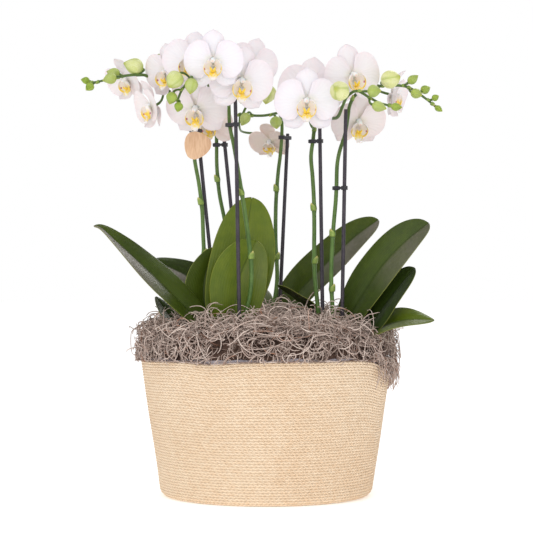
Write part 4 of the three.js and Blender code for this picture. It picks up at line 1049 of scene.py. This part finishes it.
def strand_tubes(name, paths, radii, across, tone, deep):
    """Three-sided strands along paths, an array of strand, step and place"""
    strands, steps, _ = paths.shape
    along = unit(np.gradient(paths, axis=1))
    side = unit(np.cross(along, across[:, None, :]))
    over = np.cross(side, along)
    turns = np.arange(3) * TURN / 3
    ring = side[:, :, None, :] * np.cos(turns)[:, None] + over[:, :, None, :] * np.sin(turns)[:, None]
    points = paths[:, :, None, :] + ring * radii[:, :, None, None]
    first = (np.arange(strands) * steps * 3)[:, None, None]
    step = (np.arange(steps - 1) * 3)[None, :, None]
    k = np.arange(3)[None, None, :]
    after = (k + 1) % 3
    quads = np.stack([first + step + k, first + step + after, first + step + 3 + after, first + step + 3 + k],
                     axis=-1).reshape(-1, 4)
    starts = first[:, 0, :] + np.array([[2, 1, 0]])
    ends = first[:, 0, :] + 3 * (steps - 1) + np.array([[0, 1, 2]])
    mesh = bpy.data.meshes.new(name)
    faces = quads.tolist() + starts.tolist() + ends.tolist()
    mesh.from_pydata((points.reshape(-1, 3) * MM).tolist(), [], faces)
    piece = bpy.data.objects.new(name, mesh)
    bpy.context.scene.collection.objects.link(piece)
    mark(piece, "tone", np.repeat(tone, steps * 3))
    mark(piece, "deep", np.repeat(deep, 3))
    return piece


def lying_strands(random, count):
    """Curled strands that lie over each other on the mound, and a few loops that stand up from it"""
    t = np.linspace(0, 1, STRAND_STEPS + 1)[None, :, None]
    top = random.uniform(0, 1, count) < ON_TOP_SHARE
    inner = BROW_SHARE * np.sqrt(random.uniform(0.03, 1, count))
    share = np.where(top, inner, random.uniform(0.68, 1.0, count))
    angle = random.uniform(0, TURN, count)
    radius, height, lean = moss_surface(share, angle)
    normal = around(np.sin(lean), angle, np.cos(lean))
    lift = random.uniform(-3.5, 2.2, count)
    standing = top & (random.uniform(0, 1, count) < STANDING_SHARE)
    tilt = random.normal(size=(count, 3))
    pole = unit(normal + np.where(top, 0.6, 0.45)[:, None] * tilt)
    pole = np.where(standing[:, None], unit(np.cross(normal, tilt)), pole)
    first = unit(np.cross(pole, random.normal(size=(count, 3))))
    second = np.cross(pole, first)
    bend = 3 + 14 * random.uniform(0, 1, count) ** 1.6
    bend = np.where(standing, 3 + 0.45 * bend, bend)[:, None, None]
    turned = random.uniform(1.0, 4.4, count) * random.choice([-1, 1], count)
    swing = random.uniform(0, TURN, count)[:, None, None] + t * turned[:, None, None]
    drift = t * (first * random.uniform(-14, 14, count)[:, None])[:, None, :]
    rise = np.where(top, 9, 2) * random.uniform(0, 1, count) ** 3
    arch = np.sin(math.pi * t) * (normal * rise[:, None])[:, None, :]
    centre = around(radius, angle, height) + normal * lift[:, None]
    curl = bend * (np.cos(swing) * first[:, None, :] + np.sin(swing) * second[:, None, :])
    waver = 0.9 * np.sin(t * 7 + random.uniform(0, TURN, (count, 1, 3)))
    path = centre[:, None, :] + curl + drift + arch + waver
    # How deep each strand lies under the others, which the moss finish turns into painted shade
    deep = np.clip((0.4 - lift[:, None] - 0.6 * arch[:, :, 2]) / 4, 0, 1)
    return path, pole, deep


def hanging_strands(random, count):
    """Strands that hang out over the rim, about half of them in one tuft at the front right"""
    t = np.linspace(0, 1, STRAND_STEPS + 1)[None, :]
    tuft = random.uniform(0, 1, count) < TUFT_SHARE
    angle = np.where(tuft, random.normal(TUFT_ANGLE, 0.12, count), random.uniform(0, TURN, count))[:, None]
    drop = np.where(tuft, random.uniform(2, 20, count), random.uniform(0, 3, count))[:, None]
    phase = random.uniform(0, TURN, count)[:, None]
    out = np.where(tuft, random.uniform(2, 8, count), random.uniform(0, 11, count) ** 2 / 12)[:, None]
    radius = MOSS_EDGE - 2 + out * np.sin(2.2 * t) + 1.2 * np.sin(6 * t + phase)
    bearing = angle + random.uniform(-0.12, 0.12, count)[:, None] * t + 0.012 * np.cos(6 * t + phase)
    height = MOSS_FOOT + 7 - rim_dip(angle) - (drop + 7) * t ** 1.2 + 1.2 * np.sin(7 * t + phase)
    pole = around(np.sin(phase), angle, np.cos(phase))[:, 0, :]
    # Hanging strands all get a little of the painted shade
    return around(radius, bearing, height), pole, np.full_like(radius, 0.15)


def moss_strands():
    finish = strand_finish()
    for part in range(STRAND_PIECES):
        random = np.random.default_rng(40 + part)
        count = STRANDS_EACH // 1
        groups = [lying_strands(random, int(LYING_SHARE * count)),
                  hanging_strands(random, int(HANGING_SHARE * count))]
        path, pole, deep = (np.concatenate(parts) for parts in zip(*groups))
        reach = np.hypot(path[:, :, 0], path[:, :, 1])
        lying = np.arange(len(path))[:, None] < len(groups[0][0])
        limit = MOSS_REACH + np.minimum(random.exponential(3.0, len(path)), 14)[:, None]
        held = np.minimum(reach, limit) + 0.25 * np.maximum(reach - limit, 0)
        path[:, :, :2] *= np.where(lying, held / reach, 1)[:, :, None]
        rim = MOSS_FOOT - rim_dip(np.arctan2(path[:, :, 1], path[:, :, 0]))
        path[:, :, 2] = np.where(lying, np.maximum(path[:, :, 2], rim), path[:, :, 2])
        total = len(path)
        taper = 0.55 + 0.45 * np.sin(np.linspace(0.15, 0.9, STRAND_STEPS + 1) * math.pi)[None, :]
        radii = random.uniform(0.34, 0.6, total)[:, None] * taper
        tone = random.uniform(0, 1, total)
        piece = strand_tubes(f"moss_strands_{part + 1}", path, radii, pole, tone, deep.ravel())
        finish_mesh(piece, finish)
        settle(piece, "moss", "moss")


# Leaves


def leaf(name, ribs, width, up, point, pale, painted_sheen):
    path = smooth_path(ribs, 300)
    along = tangents(path)
    shares = np.linspace(0, 1, len(path))
    facing = unit(np.array(up, float))
    seed = sum(map(ord, name))

    def place(u, v):
        u = 1 - (1 - u) ** 1.35
        at = at_shares(u, shares, path) / MM
        way = unit(at_shares(u, shares, along))
        across = unit(np.cross(way, facing))
        lift = np.cross(across, way)
        half = width / 2 * blade_shape(u, 0.5, 0.5, point, 0.5 + 0.45 * max(0, 1.8 - point))
        side = np.abs(v)
        wave = (0.8 * np.sin(7 * u + seed) + 0.5 * np.sin(13 * u + 2 * seed * np.sign(v))) * side ** 2
        groove = -0.9 * np.exp(-(v / 0.08) ** 2) + 0.4 * np.exp(-((side - 0.5) / 0.25) ** 2)
        notch = (point - 1) * -1.6 * np.exp(-(v / 0.25) ** 2) * np.clip((u - 0.9) / 0.1, 0, 1) ** 2
        rise = LEAF_FOLD * side * half * (1.15 - 0.2 * side) + wave + groove * np.minimum(1, 1.4 - u)
        return (at + across * (v * half)[:, None] + lift * rise[:, None] + way * notch[:, None]) * MM

    piece = grid(name + "_blade", place, 26, 14)
    thicken(piece, LEAF_THICKNESS * MM, edge=0.4)
    finish_mesh(piece, bpy.data.materials["waxy leaf"])
    across, along_leaf = uv_of_vertices(piece).T
    # Painted sheen: the half of the blade that gets the grey reflection, fading in from about a third of the
    # way out
    sheen_side = np.clip((across - 0.5) * 2 * np.sign(painted_sheen) * 6, 0, 1) * np.clip((along_leaf - 0.3) * 4, 0, 1)
    mark(piece, "pale", pale * (0.75 + 0.35 * along_leaf))
    mark(piece, "painted_sheen", abs(painted_sheen) * sheen_side)
    return settle(piece, "leaf_green", name)


# Flower sprays


def bract(at, way, towards, radius, length):
    """A pale pointed scale that wraps a stem at a joint"""
    way = unit(np.asarray(way, float))
    front = unit(np.asarray(towards, float) - way * np.dot(towards, way))
    beside = np.cross(way, front)

    def place(u, v):
        width = (1 - u ** 2.2) * 1.7
        turn = v * width
        stand = radius * (1.12 + 0.22 * np.sin(u * 2.2) * (1 - 0.4 * np.abs(v)))
        height = length * (u - 0.3)
        return (np.asarray(at) / MM + front * (stand * np.cos(turn))[:, None]
                + beside * (stand * np.sin(turn))[:, None] + way * height[:, None]) * MM

    piece = grid("bract", place, 6, 6)
    thicken(piece, BRACT_THICKNESS * MM, rounding=0)
    return finish_mesh(piece, bpy.data.materials["pale bract"])


def bud(at, length, width, tip, root):
    """A closed bud: three sepals that meet in seams, plump at its heel and pointed at its tip"""
    piece = ball(36, 14)
    axis = unit(np.array(tip, float))
    side = unit(np.cross(axis, (0.2, 0.9, 0.4)))
    over = np.cross(axis, side)
    x, y, z = places(piece).T
    share = np.arccos(np.clip(-z, -1, 1)) / math.pi
    turn = np.arctan2(y, x)
    plump = np.sin(math.pi * np.clip(share, 0, 1) ** 0.8) ** 0.72
    seam = np.exp(-(((turn * 3 / TURN) % 1 - 0.5) / 0.085) ** 2)
    keel = np.cos(3 * turn)
    radius = width / 2 * plump * (1 - 0.07 * seam - 0.035 * keel * share)
    height = (share - 0.5) * length + 0.05 * length * np.clip((share - 0.9) / 0.1, 0, 1)
    points = (np.array(at) + axis * height[:, None] + side * (radius * np.cos(turn))[:, None]
              + over * (radius * np.sin(turn))[:, None])
    move_to(piece, points * MM)
    finish_mesh(piece, bpy.data.materials["flower bud"])
    mark(piece, "green", float(np.clip((20 - length) / 11, 0, 1)))
    mark(piece, "seam", seam * np.clip(share * 3, 0, 1))
    heel = (np.array(at) - axis * length * 0.47) * MM
    reach = 0.4 * np.linalg.norm(heel - root)
    stalk = bezier(root, heel - axis * reach, heel, 14)
    swell = np.linspace(0.9, 1.25, 14)
    return piece, rod("bud_stalk", stalk, STALK_RADIUS * swell, bpy.data.materials["flower stem"], 8)


def nearest(point, paths):
    """The place on the paths that is nearest to a point in millimetres, and the way of the path there"""
    point = np.array(point) * MM
    best = min(paths, key=lambda path: np.linalg.norm(path - point, axis=1).min())
    k = int(np.linalg.norm(best - point, axis=1).argmin())
    return best[k], tangents(best)[k]


def bloom_facing(face):
    right, up = (math.radians(angle) for angle in face)
    return np.array([math.sin(right) * math.cos(up), -math.cos(right) * math.cos(up), math.sin(up)])


def bloom_stalk(at, across, face, stalk, paths):
    way = bloom_facing(face)
    end = (np.array(at) - way * HUB_BACK * across / 2) * MM
    root, _ = nearest(stalk[0], paths)
    if len(stalk) == 1:
        reach = 0.4 * np.linalg.norm(end - root)
        path = bezier(root, end - way * reach, end, 18)
    else:
        path = smooth_path([root / MM, *stalk[1:], end / MM - 4 * way, end / MM], 26)
    radii = STALK_RADIUS * np.linspace(0.95, 1.35, len(path))
    return rod("bloom_stalk", path, radii, bpy.data.materials["flower stem"], 8)


def spray(name, table):
    """A stem with its joints, bracts, side stalks and buds"""
    green = bpy.data.materials["flower stem"]
    path = smooth_path(table["stem"], 120)
    shares = np.linspace(0, 1, len(path))
    radii = STEM_RADIUS + (STEM_TIP_RADIUS - STEM_RADIUS) * shares ** 3
    joints = [int(np.argmax(path[:, 2] >= height * MM)) for height in table["joints"]]
    for k in joints:
        radii = radii + JOINT_SWELL * np.exp(-((np.arange(len(path)) - k) / 1.0) ** 2)
    ways = tangents(path)
    stems = [rod("stem", path, radii, green, 12)]
    branches = [smooth_path(points, 24) for points in table["branches"]]
    stems += [rod("branch", branch, BRANCH_RADIUS, green, 8) for branch in branches]
    paths = [path, *branches]
    scales = [bract(path[k], ways[k], ((-1) ** n, -0.8, 0), radii[k], JOINT_BRACT_LENGTH)
              for n, k in enumerate(joints)]
    buds = []
    for at, length, width, tip, root in table["buds"]:
        root, way = nearest(root, paths)
        closed, stalk = bud(at, length, width, tip, root)
        buds.append(closed)
        stems.append(stalk)
        scales.append(bract(root, way, np.array(at) * MM - root, *BUD_BRACT))
    for at, across, face, _, _, _, owner, stalk in BLOOMS:
        if owner == name:
            stems.append(bloom_stalk(at, across, face, stalk, paths))
            root, way = nearest(stalk[0], paths)
            scales.append(bract(root, way, np.array(at) * MM - root, *BLOOM_BRACT))
    for kind, pieces in (("stems", stems), ("bracts", scales), ("buds", buds)):
        settle(join(f"spray_{name}_{kind}", pieces), "stem_green", f"spray_{name}")


# Blooms, in their own frame: X to the viewer's right, Y up, Z the way that they face


def sepal(angle, radius, cup, seed):
    cos, sin = math.cos(math.radians(angle)), math.sin(math.radians(angle))
    reach = 1.05 if angle == 90 else 1

    def place(u, v):
        u = 1 - (1 - u) ** 1.3
        length = TEPAL_ROOT + (reach - TEPAL_ROOT) * u * (1 - 0.05 * v * v * u)
        side = SEPAL["half"] * blade_shape(u, SEPAL["base"], SEPAL["peak"], 2.2) * v
        ruffle = 0.015 * ripple(seed, 3 * u, 2 * v, 0.7) * (u + v * v)
        height = SEPAL["depth"] + (cup - SEPAL["reflex"]) * u * u - SEPAL["hollow"] * v * v * u + ruffle
        return np.column_stack([cos * length - sin * side, sin * length + cos * side, height]) * radius * MM

    return petal_of(place)


def petal(angle, radius, cup, seed):
    """A broad petal that fans out from a short claw"""
    tilt = math.radians(angle)

    def place(u, v):
        u = 1 - (1 - u) ** 1.3
        turn = tilt + v * PETAL["spread"]
        edge = 1 - 0.37 * np.abs(v) ** 3 + 0.012 * ripple(seed, 5 * v, 0 * v, 1)
        reach = TEPAL_ROOT + (edge - TEPAL_ROOT) * u
        ruffle = 0.022 * ripple(seed + 1, 3 * u, 3 * v, 0.9) * u * u
        fold = 0.03 * np.exp(-(v / 0.12) ** 2) * (1 - u) - 0.03 * np.abs(v) ** 4 * u
        bowl = (cup - PETAL["reflex"]) * u * u + PETAL["hollow"] * v * v * u
        height = PETAL["depth"] + bowl + ruffle + fold
        return np.column_stack([reach * np.cos(turn), reach * np.sin(turn), height]) * radius * MM

    return petal_of(place)


def petal_of(place):
    piece = grid("petal", place, 12, 12)
    thicken(piece, PETAL_THICKNESS * MM)
    return finish_mesh(piece, bpy.data.materials["white petal"])


def side_lobe(mirror, radius):
    """One side lobe of the lip: half of a cup that opens to the front"""

    def place(u, v):
        turn = np.radians(26 + 136 * (v + 1) / 2)
        share = u * (1 - 0.4 * np.abs(v) ** 2.5)
        girth = 0.08 + 0.22 * np.sin(0.62 * math.pi * share ** 0.8)
        x = mirror * girth * np.sin(turn)
        y = LIP_MIDDLE - 1.05 * girth * np.cos(turn)
        return np.column_stack([x, y, 0.12 + 0.3 * share]) * radius * MM

    piece = grid("side_lobe", place, 8, 8)
    thicken(piece, LOBE_THICKNESS * MM)
    return finish_mesh(piece, bpy.data.materials["lip side lobe"])


def middle_lobe(radius):
    """The lip's middle lobe: narrow at its root, spread to two wings, and turned up at its tip"""
    rows = np.array([0, 0.3, 0.55, 0.75, 1])

    def place(u, v):
        width = np.interp(u, rows, [0.09, 0.12, 0.17, 0.1, 0.02])
        y = np.interp(u, rows, [-0.3, -0.42, -0.52, -0.58, -0.6])
        z = np.interp(u, rows, [0.14, 0.26, 0.37, 0.41, 0.45])
        wing = 0.35 * width * v * v
        return np.column_stack([width * v, y + wing, z + 0.5 * wing]) * radius * MM

    piece = grid("middle_lobe", place, 10, 6)
    thicken(piece, PETAL_THICKNESS * MM)
    return finish_mesh(piece, bpy.data.materials["lip middle lobe"])


def horn(mirror, radius):
    """One of the two thin tendrils at the tip of the middle lobe, curled back up"""
    t = np.linspace(0, 1, 10)
    path = np.column_stack([mirror * (0.01 + 0.1 * np.sin(2.6 * t)), -0.6 + 0.14 * t ** 1.5,
                            0.44 + 0.09 * np.sin(3 * t)])
    return rod("horn", path * radius * MM, 0.32 * (1 - 0.6 * t), bpy.data.materials["column"], 6)


def callus(radius):
    """The two-horned yellow swelling between the side lobes"""
    humps = []
    for mirror in (-1, 1):
        t = np.linspace(0, 1, 7)
        path = np.column_stack([mirror * (0.02 + 0.07 * t), -0.34 + 0.17 * t, 0.2 + 0.14 * np.sin(2.2 * t)])
        girth = radius * 0.042 * np.sin(math.pi * (0.25 + 0.68 * t))
        humps.append(rod("callus", path * radius * MM, girth, bpy.data.materials["lip callus"], 8))
    return humps


def column(radius):
    """The column: a blunt rod that leans out over the lip, with its cap"""
    piece = ball(16, 12)
    x, y, z = places(piece).T
    share = (z + 1) / 2
    girth = 0.09 + 0.02 * np.exp(-((share - 0.86) / 0.12) ** 2)
    leaning = 0.07 - 0.05 * share ** 2 + y * girth * 0.85
    move_to(piece, np.column_stack([x * girth, leaning, -0.02 + 0.38 * share]) * radius * MM)
    return finish_mesh(piece, bpy.data.materials["column"])


def hub(radius):
    """The green-white heel behind the petals, that the stalk comes into"""
    t = np.linspace(0, 1, 8)
    path = np.column_stack([0 * t, 0 * t - 0.01, -HUB_BACK + 0.2 * t]) * radius * MM
    return rod("hub", path, radius * (0.05 + 0.11 * t), bpy.data.materials["white petal"], 10)


def bloom(number, at, across, face, roll, cup, warm):
    radius = across / 2
    sepals = [sepal(angle, radius, cup, 100 * number + k) for k, angle in enumerate(SEPAL_ANGLES)]
    petals = [petal(angle, radius, cup, 100 * number + 7 + 2 * k) for k, angle in enumerate(PETAL_ANGLES)]
    parts = [*sepals, *petals, hub(radius), side_lobe(1, radius), side_lobe(-1, radius), middle_lobe(radius),
             horn(1, radius), horn(-1, radius), *callus(radius), column(radius)]
    piece = join(f"bloom_{number}_flower", parts)
    # How much painted cream shade this bloom's white gets
    mark(piece, "warm", warm)
    facing = bloom_facing(face)
    up = unit(np.array([0, 0, 1.0]) - facing * facing[2])
    right = np.cross(up, facing)
    turn = math.radians(roll)
    flat = places(piece)
    turned = np.column_stack([flat[:, 0] * math.cos(turn) - flat[:, 1] * math.sin(turn),
                              flat[:, 0] * math.sin(turn) + flat[:, 1] * math.cos(turn), flat[:, 2]])
    move_to(piece, turned @ np.array([right, up, facing]) + np.array(at) * MM)
    return settle(piece, "petal_white", f"bloom_{number}")


# Sticks, clips and tag


def stick(name, table):
    foot, top = (np.array(point, float) for point in table["stick"])
    t = np.linspace(0, 1, 40)
    path = (foot + (top - foot) * t[:, None]) * MM
    worn_end = 1 - 0.12 * np.exp(-((1 - t) / 0.006) ** 2)
    girth = STICK_RADIUS * worn_end + 0.04 * ripple(ord(name), 60 * t, 0 * t, 6)
    piece = rod(f"stick_{name}_rod", path, girth, bpy.data.materials["dark stick"], 12)
    return settle(piece, "stick_black", f"stick_{name}")


def block(size, centre, turn, bevel):
    """A rounded block, turned about the upright through its middle"""
    bpy.ops.object.select_all(action="DESELECT")
    bpy.ops.mesh.primitive_cube_add(size=1, location=Vector(centre) * MM, rotation=(0, 0, turn),
                                    scale=Vector(size) * MM)
    piece = bpy.context.object
    bpy.ops.object.transform_apply(location=True, rotation=True, scale=True)
    apply_modifier(piece, "BEVEL", width=bevel * MM, segments=3)
    return piece


def ring(at, radius, wall, height):
    """A short collar round a stem or a stick"""
    at = np.array(at)
    low, high = -height / 2, height / 2
    profile = np.array([(radius, low), (radius + wall, low), (radius + wall, high), (radius, high)])

    def place(u, v):
        step = np.rint(u * 4).astype(int) % 4
        reach, rise = profile[step].T
        return (at + around(reach, math.pi * v, rise)) * MM

    piece = grid("collar", place, 4, 28)
    return finish_mesh(piece, bpy.data.materials["black clip"], merge=1e-6, smooth=35)


def clip(name, table):
    """A black clip: a collar on the stick, a collar on the stem, the bar between them and its end lugs"""
    foot, top = (np.array(point, float) for point in table["stick"])
    share = (table["clip"] - foot[2]) / (top[2] - foot[2])
    on_stick = foot + (top - foot) * share
    path = smooth_path(table["stem"], 200) / MM
    on_stem = path[int(np.argmax(path[:, 2] >= table["clip"]))]
    on_stem[2] = on_stick[2] = table["clip"]
    way = unit(on_stem - on_stick)
    turn = math.atan2(way[1], way[0])
    middle = (on_stem + on_stick) / 2
    out = unit(np.array([-way[1], way[0], 0]))
    if out[1] > 0:
        out = -out
    pieces = [ring(place, radius + COLLAR_PLAY, COLLAR_WALL, COLLAR_HEIGHT)
              for place, radius in ((on_stick, STICK_RADIUS), (on_stem, STEM_RADIUS))]
    pieces.append(block(CLIP_BAR, middle + out * CLIP_BAR_OUT, turn, 0.4))
    for end in (-1, 1):
        place = middle + way * CLIP_LUG_ALONG * end + out * CLIP_LUG_OUT
        pieces.append(block(CLIP_LUG, place, turn, 0.45))
    for piece in pieces[2:]:
        finish_mesh(piece, bpy.data.materials["black clip"], smooth=40)
    return settle(join(f"clip_{name}_body", pieces), "black_plastic", f"clip_{name}")


def tag():
    """The bare tag: a flat plate with a round top and a blunt point below"""
    half = TAG_SIZE / 2
    corners = [((-0.3, -1), (0, -1.12), (0.3, -1)), ((0.3, -1), (0.8, -0.6), (1, -0.1), (1, 0.25)),
               ((1, 0.25), (1, 0.85), (0.5, 1), (0, 1)), ((0, 1), (-0.5, 1), (-1, 0.85), (-1, 0.25)),
               ((-1, 0.25), (-1, -0.1), (-0.8, -0.6), (-0.3, -1))]
    t = np.linspace(0, 1, 12, endpoint=False)[:, None]
    outline = np.vstack([curve_through(np.array(corner, float), t) for corner in corners]) * half

    def place(u, v):
        k = np.rint((v + 1) / 2 * len(outline)).astype(int) % len(outline)
        share = np.sqrt(u)
        flat, tall = (outline[k] * share[:, None]).T
        x = flat * math.cos(TAG_TURN) + tall * math.sin(TAG_TURN)
        z = tall * math.cos(TAG_TURN) - flat * math.sin(TAG_TURN)
        y = 0.25 * np.sin(x / 7) - TAG_THICKNESS / 2
        return (np.column_stack([x, y, z]) + TAG_PLACE) * MM

    piece = grid("bare_tag", place, 10, len(outline))
    finish_mesh(piece, tag_finish(), merge=1e-6, smooth=40)
    apply_modifier(piece, "SOLIDIFY", thickness=TAG_THICKNESS * MM, offset=0)
    apply_modifier(piece, "BEVEL", width=0.15 * MM, segments=2)
    return settle(piece, "tag_board", "tag")


# Pieces that keep the part's own shape


def keep(node, finish):
    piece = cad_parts[node]
    piece.data.materials.clear()
    piece.data.materials.append(finish)


# Light and floor


def stage():
    """A wide flat floor, as white as the ground behind"""
    bpy.ops.object.select_all(action="DESELECT")
    bpy.ops.mesh.primitive_circle_add(vertices=96, radius=FLOOR_RADIUS, fill_type="NGON")
    floor = bpy.context.object
    floor.name = "floor"
    made, tree, shader = material("pale floor", Roughness=0.9, Specular_IOR_Level=0.1,
                                  Emission_Color=(1.0, 1.0, 1.0, 1.0), Emission_Strength=FLOOR_GLOW)
    colour, _ = mottled(tree, 2.0, shade(252, 252, 252), shade(250, 250, 251))
    paint(tree, shader, colour)
    finish_mesh(floor, made)


def lamp(name, kind, place, aim, power, **settings):
    data = bpy.data.lights.new(name, kind)
    data.energy = power
    for key, value in settings.items():
        setattr(data, key, value)
    made = bpy.data.objects.new(name, data)
    made.location = place
    made.rotation_euler = (Vector(aim) - Vector(place)).to_track_quat("-Z", "Y").to_euler()
    bpy.context.scene.collection.objects.link(made)


def light():
    world = bpy.data.worlds.new("soft studio")
    world.use_nodes = True
    tree = world.node_tree
    seen = add(tree, "ShaderNodeLightPath").outputs["Is Camera Ray"]
    background = tree.nodes["Background"]
    background.inputs["Color"].default_value = (1.0, 1.0, 1.0, 1.0)
    strength = sums(tree, "MULTIPLY_ADD", seen, 1.0 - WORLD_LIGHT, WORLD_LIGHT)
    tree.links.new(strength, background.inputs["Strength"])
    bpy.context.scene.world = world
    lamp("key", "SUN", (-1.2, -2.2, 2.3), (0, 0, 0), 0.75, angle=0.9)
    lamp("front", "AREA", (0.5, -2.6, 1.0), (0, 0, 0.2), 8, shape="DISK", size=1.6)
    lamp("back", "AREA", (0.7, 2.0, 1.7), (0, 0, 0.3), 14, shape="DISK", size=1.2)
    bpy.context.scene.view_settings.view_transform = "Standard"


camera()
for build in (mottle_group, vein_group):
    build()
for finish in (leaf_finish, stem_finish, bract_finish, bud_finish, petal_finish, lobe_finish, lip_finish,
               callus_finish, column_finish, stick_finish, clip_finish):
    finish()

basket()
liner()
moss_bed()
moss_strands()
for name, shape in LEAVES.items():
    leaf(name, *shape)
for name, table in SPRAYS.items():
    stick(name, table)
    spray(name, table)
    clip(name, table)
for number, (at, across, face, roll, cup, warm, _, _) in enumerate(BLOOMS, 1):
    bloom(number, at, across, face, roll, cup, warm)
tag()

pot, bark, tray = pot_finish(), bark_finish(), tray_finish()
for plant in ("left", "back", "right"):
    keep(f"{plant}_pot", pot)
    keep(f"{plant}_bark", bark)
    keep(f"{plant}_crown", bpy.data.materials["flower stem"])
keep("water_reservoir", tray)

stage()
light()
